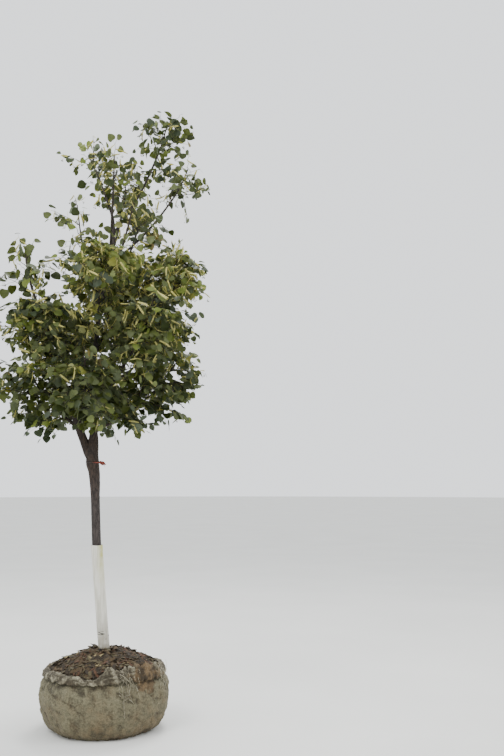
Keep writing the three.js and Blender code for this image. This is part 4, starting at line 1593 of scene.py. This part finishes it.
    def _grow_spray(
        self, mass: Mass | None, centre: Array, habit: Habit, leaves: Swarm, point: Array, way: Array,
        draws: Draws,
    ) -> None:
        """Grows a fine twig with two ranks of leaves.

        Args:
            mass: The mass whose space it keeps to, or None for the whole crown's.
            centre: The place that its leaves face away from.
            habit: How its foliage grows.
            leaves: The mass's leaves.
            point: Where the fine twig starts.
            way: The direction in which its bud points.
            draws: The random numbers.
        """
        outward = unit(point - centre)
        most = self.spray * draws.between(0.5, 1.1)
        best = None
        for attempt in range(8):
            hang = habit.droop * draws.between(0.1, 1.2)
            tipward = unit(way - UP * hang + draws.vector(0.25 + 0.12 * attempt))
            reach = self._reach(mass, point, tipward, most)
            if best is None or reach > best[0]:
                best = (reach, tipward)
            if reach > 0.8 * most:
                break
        reach, tipward = best
        if reach < 0.05:
            return
        facing = draws.vector(habit.scatter) + UP * habit.upward + outward * habit.outward
        side = np.cross(across(facing, tipward), tipward)
        nodes = max(3, round(habit.leaves * reach / self.spray))
        wood = reach * self.spray_wood
        finish = draws.pick(habit.colour_weights())
        points = [point]
        for node in range(nodes):
            turn = 1 if node % 2 else -1
            along = wood * (node + 0.7) / nodes
            kink = side * turn * 0.004 - UP * 0.05 * along * along / self.spray
            points.append(point + tipward * along + kink + draws.vector(0.002))
        self.twigs.add(np.stack(points), np.linspace(*self.sprig_radius, len(points)), 4)
        for node, place in enumerate(points[1:]):
            turn = 1 if node % 2 else -1
            last = node == nodes - 1
            size = draws.between(*self.leaf) * habit.size * (0.75 if last else 1.0)
            if draws.share() < self.odd_share:
                finish = draws.pick(habit.colour_weights())
            tip = tipward * (1.3 if last else draws.between(0.2, 0.8))
            petiole_way = unit(tip + side * turn * (0.2 if last else 0.9) + draws.vector(0.35))
            self._hang_leaf(mass, leaves, place, petiole_way, facing, size, finish, draws)
            if draws.share() < habit.bracts:
                self._hang_bract(mass, place, side * turn, draws)

    def _hang_leaf(
        self, mass: Mass | None, leaves: Swarm, node: Array, way: Array, facing: Array, size: float,
        finish: int, draws: Draws,
    ) -> None:
        """Hangs one leaf from a node by its petiole, or none where there is no room.

        Args:
            mass: The mass whose space it keeps to, or None for the whole crown's.
            leaves: The mass's leaves.
            node: Where its petiole starts.
            way: The petiole's direction.
            facing: The way that its upper side looks.
            size: How long its blade is.
            finish: Which of the leaf colours it takes.
            draws: The random numbers.
        """
        reach = draws.between(*self.petiole)
        end = node + way * reach
        blade = unit(way * 0.8 - UP * draws.between(0.05, 0.85) + draws.vector(0.3))
        middle = end + blade * size * 0.6
        if self._room(mass, middle) < self.margin or not self.clear_of_limbs(middle, size * 0.3):
            return
        normal = across(facing + draws.vector(0.55), blade)
        basis = np.stack([blade, np.cross(normal, blade), normal]) * size
        leaves.add(int(draws.share() * len(self.blades)), basis, end, finish)
        lift = across(UP, way)
        radius = self.petiole_radius
        stalk = np.stack([way * reach * 1.04, np.cross(lift, way) * radius, lift * radius])
        self.petioles.add(int(draws.share() * 2), stalk, node)

    def _hang_bract(self, mass: Mass | None, node: Array, side: Array, draws: Draws) -> None:
        """Hangs a strap bract and, from its middle, a stalk with a few nutlets."""
        way = unit(side * draws.between(0.2, 1.3) - UP * draws.between(0.0, 1.1) + draws.vector(0.6))
        length = draws.between(0.055, 0.098)
        middle = node + way * length * 0.6
        if self._room(mass, middle) < self.margin:
            return
        normal = across(draws.vector(1.0), way)
        basis = np.stack([way * length, np.cross(normal, way) * length, normal * length])
        self.bracts.add(int(draws.share() * 3), basis, node)
        hang = unit(way * 0.5 - UP * 0.9 + draws.vector(0.35))
        drop = draws.between(0.022, 0.034)
        middle = node + way * length * 0.5
        self._stalk(middle, hang, drop, draws)
        fork = middle + hang * drop
        for _ in range(3 + int(draws.share() * 4)):
            ray = unit(hang * 0.7 - UP * 0.4 + draws.vector(0.85))
            reach = draws.between(0.010, 0.019)
            self._stalk(fork, ray, reach, draws)
            radius = draws.between(0.0030, 0.0042)
            self.nutlets.add(0, np.eye(3) * radius, fork + ray * (reach + radius * 0.8))

    def _stalk(self, start: Array, way: Array, reach: float, draws: Draws) -> None:
        """Adds a thin straight stalk."""
        lift = across(draws.vector(1.0), way)
        radius = self.petiole_radius * 0.8
        basis = np.stack([way * reach, np.cross(lift, way) * radius, lift * radius])
        self.petioles.add(int(draws.share() * 2), basis, start)

    def build(self) -> None:
        """Grows every mass and makes the pieces that they share."""
        self.leaf_materials = [colour.value.materials() for colour in LeafColour]
        for place, mass in enumerate(self.plan.masses):
            self.grow(mass, self.plan.seed + 1 + place)
        dress(self.twigs.build("twigs"), "bough_bark", TWIG_BARK.material())
        stalk_skin = STALK_SKIN.material()
        for piece in self.petioles.build_lots("stalks", self.stalk_lots):
            dress(piece, "foliage", stalk_skin)
        dress(self.bracts.build("bracts"), "foliage", BRACT_SKIN.material())
        nutlet_skin = NUTLET_SKIN.material()
        for piece in self.nutlets.build_lots("nutlets", self.nutlet_lots):
            dress(piece, "foliage", nutlet_skin)


# Root ball


@dataclass
class RootBall:
    """The ball of soil in burlap, the rolled edge of the cloth, and the bark mulch on top."""

    soil: float = 0.520
    foot: float = 0.340
    shoulder: Pair = (0.413, 0.385)
    profile: Pairs = (
        (0.340, 0.0), (0.402, 0.048), (0.443, 0.140), (0.455, 0.240), (0.445, 0.325), (0.413, 0.385)
    )
    slope: Pairs = ((0.362, 0.407), (0.250, 0.458), (0.120, 0.506), (0.080, 0.520))
    lumps: tuple[Triple, ...] = ((3, 0.022, 0.6), (7, 0.012, 1.9))
    columns: int = 420
    row: float = 0.0075
    mulch_edge: float = 0.374
    mulch_depth: float = 0.026
    rim_width: float = 0.062
    rim_rise: float = 0.046
    chips: int = 1400
    litter: int = 3000
    chip_length: Pair = (0.022, 0.085)
    litter_length: Pair = (0.007, 0.020)
    tear: Triple = (0.356, -0.268, 0.378)
    tear_radius: float = 0.095
    torn_arc: Pair = (-60.0, -16.0)
    heap_middle: float = -50.0
    heap_half: float = 42.0
    heap_fade: float = 16.0
    heap_rise: float = 0.080
    mulch_pile: float = 0.045
    ribbons: int = 9
    fibres: int = 44

    def _spun(self, outline: Array, name: str, closed: bool) -> Object:
        """Spins an outline of radius and height about the upright axis.

        Args:
            outline: One row of radius and height for each point.
            name: The piece's name.
            closed: Whether the last point joins the first.
        """
        bm = bmesh.new()
        points = [bm.verts.new((radius, 0.0, height)) for radius, height in outline]
        pairs = list(zip(points, points[1:])) + ([(points[-1], points[0])] if closed else [])
        edges = [bm.edges.new(pair) for pair in pairs]
        bmesh.ops.spin(
            bm, geom=[*points, *edges], axis=(0, 0, 1), cent=(0, 0, 0), angle=2 * math.pi,
            steps=self.columns, use_merge=True, use_duplicate=False,
        )
        bmesh.ops.remove_doubles(bm, verts=bm.verts, dist=0.00001)
        return object_of(bm, name)

    @staticmethod
    def _outline(points: Sequence[Pair], step: float) -> Array:
        """Returns a smooth outline through points, with places a step apart."""
        line = Line([np.array([radius, 0.0, height]) for radius, height in points])
        shares = np.linspace(0, 1, round(line.length / step) + 1)
        return np.stack([line.at(float(share)) for share in shares])[:, [0, 2]]

    def _swell(self, angles: Array) -> Array:
        """Returns the lumps of the ball at some angles, as shares of its radius."""
        return sum(size * np.cos(waves * angles + turn) for waves, size, turn in self.lumps)

    def _heap(self, angles: float | Array) -> float | Array:
        """Returns how far the torn cloth and the soil stand up at some angles, from 0 to 1."""
        share = (self.heap_half - np.abs(np.degrees(angles) - self.heap_middle)) / self.heap_fade
        share = np.clip(share, 0, 1)
        return share * share * (3 - 2 * share)

    @staticmethod
    def _cloth_uv(piece: Object, width: float) -> None:
        """Lays the cloth's own map on a spun piece: metres round it and metres up its side."""
        mesh = piece.data
        places, angles, radii = polar_of(piece)
        runs = places[:, 2] * 1.1 - radii * 0.9
        corners, starts = np.empty(len(mesh.loops), np.int32), np.empty(len(mesh.polygons), np.int32)
        mesh.loops.foreach_get("vertex_index", corners)
        mesh.polygons.foreach_get("loop_start", starts)
        turns = angles[corners]
        furthest = np.repeat(np.maximum.reduceat(turns, starts), np.diff([*starts, len(turns)]))
        turns = np.where(turns < furthest - math.pi, turns + 2 * math.pi, turns)
        uv = np.column_stack([turns * width, runs[corners]])
        mesh.uv_layers.new(name="UVMap").data.foreach_set("uv", uv.astype(np.float32).ravel())

    def build_wrap(self) -> None:
        """Builds the burlap round the ball, with the folds that its tight edge pulls into it."""
        sides = self._outline(self.profile, self.row)
        bottom = self._outline([(0.0, 0.0), (self.foot * 0.5, 0.0), (self.foot - 0.004, 0.0)], 0.03)
        top = self._outline([*self.slope, (0.0, self.soil)], 0.03)
        piece = self._spun(np.vstack([bottom, sides, top]), "burlap_wrap", closed=False)
        places, angles, radii = polar_of(piece)
        heights = places[:, 2]
        low = np.clip(heights / 0.06, 0, 1)
        high = 1 - np.clip((heights - 0.33) / (self.shoulder[1] - 0.33), 0, 1)
        lumpy = 1 + self._swell(angles) * low * low * (3 - 2 * low) * high * high * (3 - 2 * high)
        on_side = (radii > self.foot - 0.002) & (heights < self.slope[0][1] - 0.004)
        turns = around(angles, heights)
        slack = np.column_stack([heights * 6, heights * 3, angles])
        pleats = creases_at(turns * np.array([4.4, 4.4, 2.0]) + 5.0, 4.5)
        gathers = creases_at(turns * np.array([10.0, 10.0, 3.0]) + 1.7, 3.5)
        sags = creases_at(turns * np.array([2.4, 2.4, 11.0]) + slack, 4.5)
        wrinkles = creases_at(turns * np.array([6.0, 6.0, 19.0]) + slack * 1.7 + 3.3, 3.5)
        puckers = noise_at(places * 38.0, 3)
        near_rim = np.exp(-np.abs(self.shoulder[1] - heights) / 0.12)
        near_foot = np.exp(-heights / 0.07)
        folds = 0.013 * pleats * (0.3 + near_rim + near_foot) + 0.008 * gathers * (near_rim + near_foot)
        folds = folds - 0.012 * sags * (0.35 + near_rim) + 0.006 * wrinkles
        away = np.clip((self.shoulder[1] - heights) / 0.05, 0, 1)
        folds = (folds - float(folds.mean())) * away * 0.8 - 0.009 * (1 - away)
        tear = np.linalg.norm((places - np.array(self.tear)) * np.array([1.0, 1.0, 1.15]), axis=1)
        ragged = 0.035 * noise_at(places * 11.0, 3) + 0.02 * noise_at(places * 38.0 + 2.0, 2)
        torn = np.clip((self.tear_radius + ragged - tear) / 0.010, 0, 1)
        crumbs = 0.005 * noise_at(places * 60.0, 3)
        move = np.where(on_side, 0.0035 * puckers + np.clip(folds, -0.02, 0.011), 0.0)
        move = mix(move, 1.6 * crumbs - 0.003, torn * on_side)
        moved = np.column_stack([places[:, :2] * lumpy[:, None], heights]) + around(angles) * move[:, None]
        pucker = np.where(on_side & (heights > 0.03), 0.002 * puckers, 0.0)
        moved[:, 2] = np.maximum(0.0, moved[:, 2] + pucker)
        set_places(piece, moved)
        set_values(piece, "fold_shade", np.clip(-folds / 0.03, 0, 0.4) * on_side)
        set_values(piece, "torn", torn)
        self._cloth_uv(piece, 0.44)
        dress(piece, "burlap_ball", BALL_BURLAP_PAINTED_SHADE.material(), replaces=["root_ball"])

    def build_roll(self) -> None:
        """Builds the cloth's top edge, rolled back in a loose, creased roll."""
        inner, foot = self.mulch_edge + 0.005, self.shoulder[1]
        loop = [
            (inner, foot + 0.016),
            (self.shoulder[0], foot + 0.0007),
            (inner + self.rim_width * 0.88, foot - 0.012),
            (inner + self.rim_width, foot + 0.008),
            (inner + self.rim_width * 0.78, foot + self.rim_rise * 0.76),
            (inner + self.rim_width * 0.34, foot + self.rim_rise),
            (inner + 0.001, foot + self.rim_rise * 0.84),
        ]
        outline = self._outline([*loop, loop[0]], 0.0045)[:-1]
        piece = self._spun(outline, "burlap_roll", closed=True)
        places, angles, radii = polar_of(piece)
        heights = places[:, 2]
        middle = np.array([inner + self.rim_width * 0.5, foot + self.rim_rise * 0.35])
        off = np.column_stack([radii, heights]) - middle
        wrap = np.arctan2(off[:, 1], off[:, 0])
        twist = around(angles)
        folds = ridges_at(twist * 7.5 + wrap[:, None] * np.array([0.25, 0.4, 0.0]))
        small = ridges_at(twist * 19.0 + wrap[:, None] * np.array([0.8, 0.2, 0.3]) + 4.4)
        puffs = noise_at(twist * 4.0 + 9.1, 2)
        rows = ridges_at(np.column_stack([twist[:, :2] * 2.4, wrap * 2.6]))
        heap = self._heap(angles)
        size = 1.0 + 0.06 * heap + (0.16 + 0.18 * heap) * puffs - (0.20 + 0.06 * heap) * (1 - folds)
        size = size - 0.15 * (1 - small) - (0.16 + 0.2 * heap) * (1 - rows)
        inside = off[:, 0] < -self.rim_width * 0.3
        first, last = (math.radians(edge) for edge in self.torn_arc)
        torn = (0.5 * (last - first) - np.abs(angles - 0.5 * (first + last))) / 0.10
        torn = np.clip(torn + 0.8 * puffs + 2.6 * noise_at(places * 13.0, 4), 0, 1)
        size = np.where(inside, np.minimum(size, 1.0), size) * (1 - 0.06 * torn)
        size = size + torn * (0.16 * noise_at(places * 55.0, 3) + 0.25 * noise_at(places * 16.0 + 3.0, 2))
        new = middle + off * size[:, None]
        stretch = 1 + heap * self.heap_rise / self.rim_rise * (new[:, 1] > foot)
        new[:, 1] = foot + (new[:, 1] - foot) * stretch
        slump = 0.008 * np.sin(2 * angles + 0.7) + 0.006 * np.sin(5 * angles) + 0.005 * noise_at(twist * 5.0)
        swell = 1 + 0.5 * self._swell(angles) * np.clip((radii - self.shoulder[0]) / 0.02, 0, 1)
        spread = new[:, 0] * swell
        high = heights > foot + 0.02
        set_places(piece, around(angles) * spread[:, None] + np.outer(new[:, 1] + slump * high, UP))
        fold_shade = 0.35 * (1 - folds) + 0.2 * (1 - small) + 0.15 * (1 - rows)
        set_values(piece, "fold_shade", np.clip(fold_shade, 0, 0.6))
        set_values(piece, "torn", torn)
        self._cloth_uv(piece, 0.41)
        dress(piece, "burlap", ROLL_BURLAP_PAINTED_LIGHT.material(), replaces=["burlap_rim"])

    def soil_height(self, radius: float, angle: float) -> float:
        """Returns the height of the mulch at a radius and an angle."""
        radii = [0.05, 0.12, 0.23, self.mulch_edge - 0.034, self.mulch_edge]
        soil, rim, deep = self.soil, self.shoulder[1], self.mulch_depth
        tops = [soil + 0.006, soil - 0.012 + deep, soil - 0.056 + deep, rim + 0.056, rim + 0.036]
        wave = 0.007 * math.sin(5 * angle + radius / 0.06)
        return float(np.interp(radius, radii, tops)) + wave + float(self._piled(radius, angle))

    def _piled(self, radii: float | Array, angles: float | Array) -> float | Array:
        """Returns how much higher the mulch is piled behind the torn cloth, at some radii and angles."""
        turned_in = (angles + math.pi) % (2 * math.pi) - math.pi
        return self.mulch_pile * self._heap(turned_in) * np.clip((radii - 0.23) / 0.11, 0, 1)

    def build_mulch(self) -> None:
        """Builds the layer of mulched earth and the chips of bark that lie on it."""
        hole = 0.051
        under = [(hole, self.soil)] + [(radius, height + 0.0003) for radius, height in self.slope[::-1]]
        edge = [(self.mulch_edge, self.shoulder[1] + 0.036)]
        radii = np.linspace(self.mulch_edge - 0.012, hole, 46)
        above = [(float(radius), self.soil_height(float(radius), 0.0)) for radius in radii]
        piece = self._spun(np.array(under + edge + above), "mulch_layer", closed=True)
        places, angles, spread = polar_of(piece)
        floor = np.interp(spread, [hole, 0.08, 0.12, 0.25, 0.362], [self.soil, 0.520, 0.506, 0.458, 0.407])
        on_top = places[:, 2] > floor + 0.004
        crumbs = 0.013 * noise_at(places * 13, 3) + 0.005 * noise_at(places * 60, 3)
        wave = 0.007 * (np.sin(5 * angles + spread / 0.06) - np.sin(spread / 0.06))
        places[:, 2] += np.where(on_top, wave + crumbs + self._piled(spread, angles), 0.0)
        set_places(piece, places)
        dress(piece, "mulch", EARTH.material(), replaces=["bark_mulch"])
        self._scatter_chips()

    def _chip_templates(self, draws: Draws) -> list[Template]:
        """Makes the forms of the bark chips: split flakes, thin and tapering, one long."""
        forms = []
        for _ in range(5):
            bm = bmesh.new()
            bmesh.ops.create_cube(bm, size=1.0)
            long = [edge for edge in bm.edges if abs(edge.verts[0].co.x - edge.verts[1].co.x) > 0.5]
            bmesh.ops.subdivide_edges(bm, edges=long, cuts=2)
            for vertex in bm.verts:
                taper = 0.5 if abs(vertex.co.x) > 0.3 else 1.0
                shift = draws.vector(0.15)
                vertex.co = Vector((vertex.co.x, vertex.co.y * taper, vertex.co.z * taper)) + Vector(shift)
            bmesh.ops.recalc_face_normals(bm, faces=bm.faces)
            forms.append(Template.of(bm))
        return forms

    def _scatter_chips(self) -> None:
        """Lays long flakes of bark and fine litter on the mulch, most of them flat."""
        draws = Draws(73)
        chips = Swarm(self._chip_templates(draws))
        for place in range(self.chips + self.litter):
            flake = place < self.chips
            angle = draws.between(0, 2 * math.pi)
            radius = mix(0.056, self.mulch_edge - (0.006 if flake else 0.002), math.sqrt(draws.share()))
            long = draws.between(*(self.chip_length if flake else self.litter_length))
            long *= 1.7 if draws.share() < 0.12 else 1.0
            wide = min(0.024, long * draws.between(0.16, 0.5))
            thick = draws.between(0.0025, 0.006) if flake else draws.between(0.0015, 0.004)
            out = np.array([math.cos(angle), math.sin(angle), 0.0])
            height = self.soil_height(radius, angle)
            slope = (self.soil_height(radius + 0.01, angle) - height) / 0.01
            up = unit(UP - out * slope + draws.vector(0.36))
            way = across(draws.vector(1.0), up)
            basis = np.stack([way * long, np.cross(up, way) * wide, up * thick])
            origin = out * radius + UP * (height + draws.between(0.0, 0.010))
            warm = 1.0 + 1.6 * noise.noise(Vector(origin) * 7.0)
            weights = [colour.value[1] for colour in ChipColour]
            weights[0] *= max(0.1, 2.0 - warm)
            weights[2] *= max(0.0, warm) ** 2
            chips.add(int(draws.share() * 5), basis, origin, draws.pick(weights))
        piece = chips.build("bark_chips")
        piece.data.shade_flat()
        dress(piece, "mulch", *[colour.value[0].material() for colour in ChipColour])

    def _draped(self, draws: Draws, length: float, loose: float) -> Array:
        """Returns the line of a strand that hangs from the roll's edge or the tear, close to the ball.

        Args:
            draws: The random numbers.
            length: How long the strand is.
            loose: How much it wanders.
        """
        end = int(draws.share() * 2)
        angle = math.radians(self.torn_arc[end] + draws.between(-10, 10))
        height = self.shoulder[1] + draws.between(-0.08, 0.10)
        out = np.array([math.cos(angle), math.sin(angle), 0.0])
        points = [out * (0.447 + 0.012 * draws.share()) + UP * height]
        sideways = draws.between(-0.9, 0.2) if end else draws.between(0.0, 1.1)
        way = unit(np.cross(UP, out) * sideways - UP * draws.between(0.4, 1.2) + out * 0.1)
        for _ in range(8):
            way = unit(way - UP * 0.12 + draws.vector(loose))
            step = points[-1] + way * length / 8
            flat = math.hypot(step[0], step[1])
            step[:2] *= min(0.466, max(0.449, flat)) / flat
            points.append(np.array([step[0], step[1], max(0.01, step[2])]))
        return np.stack(points)

    def build_fibres(self) -> None:
        """Builds the torn ribbons, flat with two sides, and the frayed strands of jute by the tear."""
        draws = Draws(29)
        bm = bmesh.new()
        for _ in range(self.ribbons):
            points = Line(list(self._draped(draws, draws.between(0.06, 0.15), 0.42))).places[::8]
            out = points * np.array([1.0, 1.0, 0.0])
            twist = np.sin(np.linspace(0, draws.between(1, 3), len(points)) + draws.between(0, 6))
            facing = out + np.cross(out, UP) * twist[:, None] * 0.5
            add_strip(bm, points, facing, draws.between(0.003, 0.010))
        bmesh.ops.solidify(bm, geom=list(bm.faces), thickness=0.0)
        material = FRAYED_JUTE.material()
        dress(object_of(bm, "torn_ribbons"), "burlap", material)
        strands = Tubes()
        for _ in range(self.fibres):
            points = self._draped(draws, draws.between(0.03, 0.09), 0.4)
            strands.add(points, np.linspace(0.0010, 0.0005, len(points)), 4)
        dress(strands.build("frayed_strands"), "burlap", material)


# Guard and tape


@dataclass
class TrunkGuard:
    """The white plastic sleeve whose edges lap at the right, leaning with the trunk."""

    plan: TreePlan
    foot: float = 0.030
    top: float = 0.762
    radii: Pair = (0.039, 0.0402)
    wall: float = 0.0016
    gap: float = 0.0003
    lap: float = 42.0
    columns: int = 96
    rows: int = 60

    def build(self) -> None:
        """Builds the sleeve as a sheet rolled once round and given its thickness."""
        sweep = 2 * math.pi + math.radians(self.lap)
        growth = (self.wall + 2 * self.gap) / (2 * math.pi)
        bm = bmesh.new()
        bmesh.ops.create_grid(bm, x_segments=self.columns, y_segments=self.rows, size=0.5)
        draws = Draws(17)
        phase = draws.between(0, 6)
        for vertex in bm.verts:
            round_share, up_share = vertex.co.x + 0.5, vertex.co.y + 0.5
            angle = sweep * round_share
            height = mix(self.foot, self.top, up_share)
            middle = self.plan.trunk_at(height)[0]
            radius = mix(*self.radii, up_share) + growth * angle
            flare = 0.0009 * math.exp(-(1 - up_share) / 0.02)
            wave = 0.0004 * math.sin(3 * angle + 5 * up_share + phase)
            wave += 0.0003 * math.sin(2 * angle + 14 * up_share)
            lip = 0.0016 * math.sin(2.0 * angle + 1.0) * (up_share > 0.999)
            reach = radius + flare + wave
            x, y = middle[0] + reach * math.cos(angle), middle[1] + reach * math.sin(angle)
            vertex.co = (x, y, self.plan.soil + height + lip)
        bmesh.ops.recalc_face_normals(bm, faces=bm.faces)
        bmesh.ops.solidify(bm, geom=list(bm.faces), thickness=self.wall)
        piece = object_of(bm, "guard_sleeve")
        sharp = piece.modifiers.new("Edge", "BEVEL")
        sharp.width = 0.0004
        sharp.segments = 1
        sharp.limit_method = "ANGLE"
        sharp.angle_limit = math.radians(50)
        edge = float(self.plan.trunk_at(self.top)[0][0]) + self.radii[1]
        soil = self.plan.soil
        material = GuardPlastic().material(soil + self.foot, soil + self.top, edge)
        dress(piece, "guard_plastic", material, replaces=["trunk_guard"])


@dataclass
class FlagTape:
    """The strip of flagging tape: a band round the trunk, a knot at its right and two tails."""

    plan: TreePlan
    height: float = 1.364
    band: float = 0.008
    width: float = 0.022
    wall: float = 0.0006
    clearance: float = 0.0026
    tail: float = 0.046
    tails: Pairs = ((1.25, -0.2), (0.8, 0.2))

    def build(self) -> None:
        """Builds the band, the knot and the tails as one piece."""
        middle, radius = self.plan.trunk_at(self.height)
        radius += self.clearance
        draws = Draws(5)
        bm = bmesh.new()
        angles = np.linspace(0, 2 * math.pi, 61)
        out = around(angles)
        rise = 0.0025 * np.sin(angles) + 0.0014 * np.sin(3 * angles)
        crumpled = self.band * (0.8 + 0.35 * np.cos(angles) + 0.15 * np.sin(5 * angles))
        add_strip(bm, middle + out * radius + rise[:, None] * UP, out, crumpled)
        knot = middle + RIGHT * (radius + 0.006)
        for spin, size in ((0.3, 0.013), (1.5, 0.011), (2.6, 0.012)):
            turns = np.linspace(0, 2 * math.pi, 15)
            axis = unit(np.array([0.4, math.cos(spin), math.sin(spin)]))
            first = across(UP, axis)
            second = np.cross(axis, first)
            ring = np.outer(np.cos(turns), first) * size * 0.7 + np.outer(np.sin(turns), second) * size * 0.5
            add_strip(bm, knot + ring, ring, 0.008)
        for lean, swing in self.tails:
            steps = np.linspace(0, 1, 13)
            out_by, down_by = math.sin(lean), math.cos(lean)
            fall = np.column_stack([out_by * steps, swing * steps, -down_by * steps**1.4]) * self.tail
            wave = 0.004 * np.sin(steps * 7 + swing * 9)
            points = knot + fall + UP * wave[:, None] + draws.vector(0.001)
            turn = steps * 1.6 + swing
            facing = np.column_stack([0.3 * np.sin(turn), -np.cos(turn), 0.5 * np.sin(turn) + 0.1])
            add_strip(bm, points, facing, self.width * 0.8)
        bmesh.ops.remove_doubles(bm, verts=bm.verts, dist=0.0001)
        bmesh.ops.solidify(bm, geom=list(bm.faces), thickness=self.wall)
        piece = object_of(bm, "flagging")
        dress(piece, "tape", TapeFinish().material(), replaces=["flag_tape"])


# Studio


@dataclass
class Studio:
    """A plain pale floor, soft overcast light, and the camera that saw the tree."""

    floor: str = "d9d9d5"
    cloud: str = "d4d4d0"
    cloud_mm: float = 1250.0
    sky: str = "f1f4f7"
    sky_strength: float = 1.8
    camera_place: Triple = (1.060, -6.665, 1.816)
    camera_pitch: float = 5.93
    lens: float = 42.86
    sensor: float = 36.0
    lights: tuple[tuple[str, Triple, float, float], ...] = (
        ("overcast_front", (-2.6, -4.4, 6.6), 3.5, 300.0),
        ("overcast_back", (1.2, 3.4, 8.4), 3.0, 520.0),
        ("overcast_right", (5.0, -1.2, 5.6), 3.0, 120.0),
    )
    aim: Triple = (0.0, 0.0, 2.2)

    def build(self) -> None:
        """Sets the floor, the sky, the lights and the camera."""
        bm = bmesh.new()
        bmesh.ops.create_circle(bm, cap_ends=True, segments=64, radius=60.0)
        ground = object_of(bm, "studio_floor")
        ground.data.transform(Matrix.Translation((0, 0, -0.0005)))
        ground.data.materials.append(self._floor_paint())
        ground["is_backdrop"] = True
        world = bpy.data.worlds.new("overcast_sky")
        bpy.context.scene.world = world
        world.use_nodes = True
        shade = world.node_tree.nodes["Background"]
        shade.inputs["Color"].default_value = linear(self.sky)
        shade.inputs["Strength"].default_value = self.sky_strength
        for name, place, size, power in self.lights:
            self._light(name, place, size, power)
        lens = bpy.data.cameras.new("camera")
        lens.lens = self.lens
        lens.sensor_width = self.sensor
        camera = link("camera", lens)
        camera.location = self.camera_place
        camera.rotation_euler = (math.radians(90 + self.camera_pitch), 0, 0)
        bpy.context.scene.camera = camera

    def _light(self, name: str, place: Triple, size: float, power: float) -> None:
        """Hangs one large soft light that looks at the tree."""
        lamp = bpy.data.lights.new(name, "AREA")
        lamp.shape = "DISK"
        lamp.size = size
        lamp.energy = power
        holder = link(name, lamp)
        holder.location = place
        holder.rotation_euler = (Vector(self.aim) - Vector(place)).to_track_quat("-Z", "Y").to_euler()

    def _floor_paint(self) -> Material:
        """Makes the floor's matt paint, with a faint change of shade."""
        paint = Surface("pale_floor_paint")
        drift = {"Vector": paint.place, "Scale": per_metre(self.cloud_mm), "Detail": 2.0}
        cloud = paint.add("TexNoise", drift)
        return paint.finish(paint.add("ValToRGB", (cloud,), ((0.3, self.cloud), (0.7, self.floor))), 0.9)


def write_sizes() -> None:
    """Gathers the box of the solids and the box of the dressed tree, and keeps neither."""
    boxes = {"cad": CAD_BOX, "visual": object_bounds()}
    {name: [list(corner) for corner in box] for name, box in boxes.items()}


def main() -> None:
    """Builds the tree from its foot up, then the studio."""
    logging.basicConfig(level=logging.INFO, format="%(message)s")
    plan = TreePlan()
    Studio().build()
    ball = RootBall(soil=plan.soil)
    ball.build_wrap()
    ball.build_roll()
    ball.build_mulch()
    ball.build_fibres()
    bark = BarkSkins(plan)
    bark.build_trunk()
    bark.build_boughs()
    TrunkGuard(plan).build()
    FlagTape(plan).build()
    Foliage(plan).build()
    write_sizes()


if __name__ == "__main__":
    main()
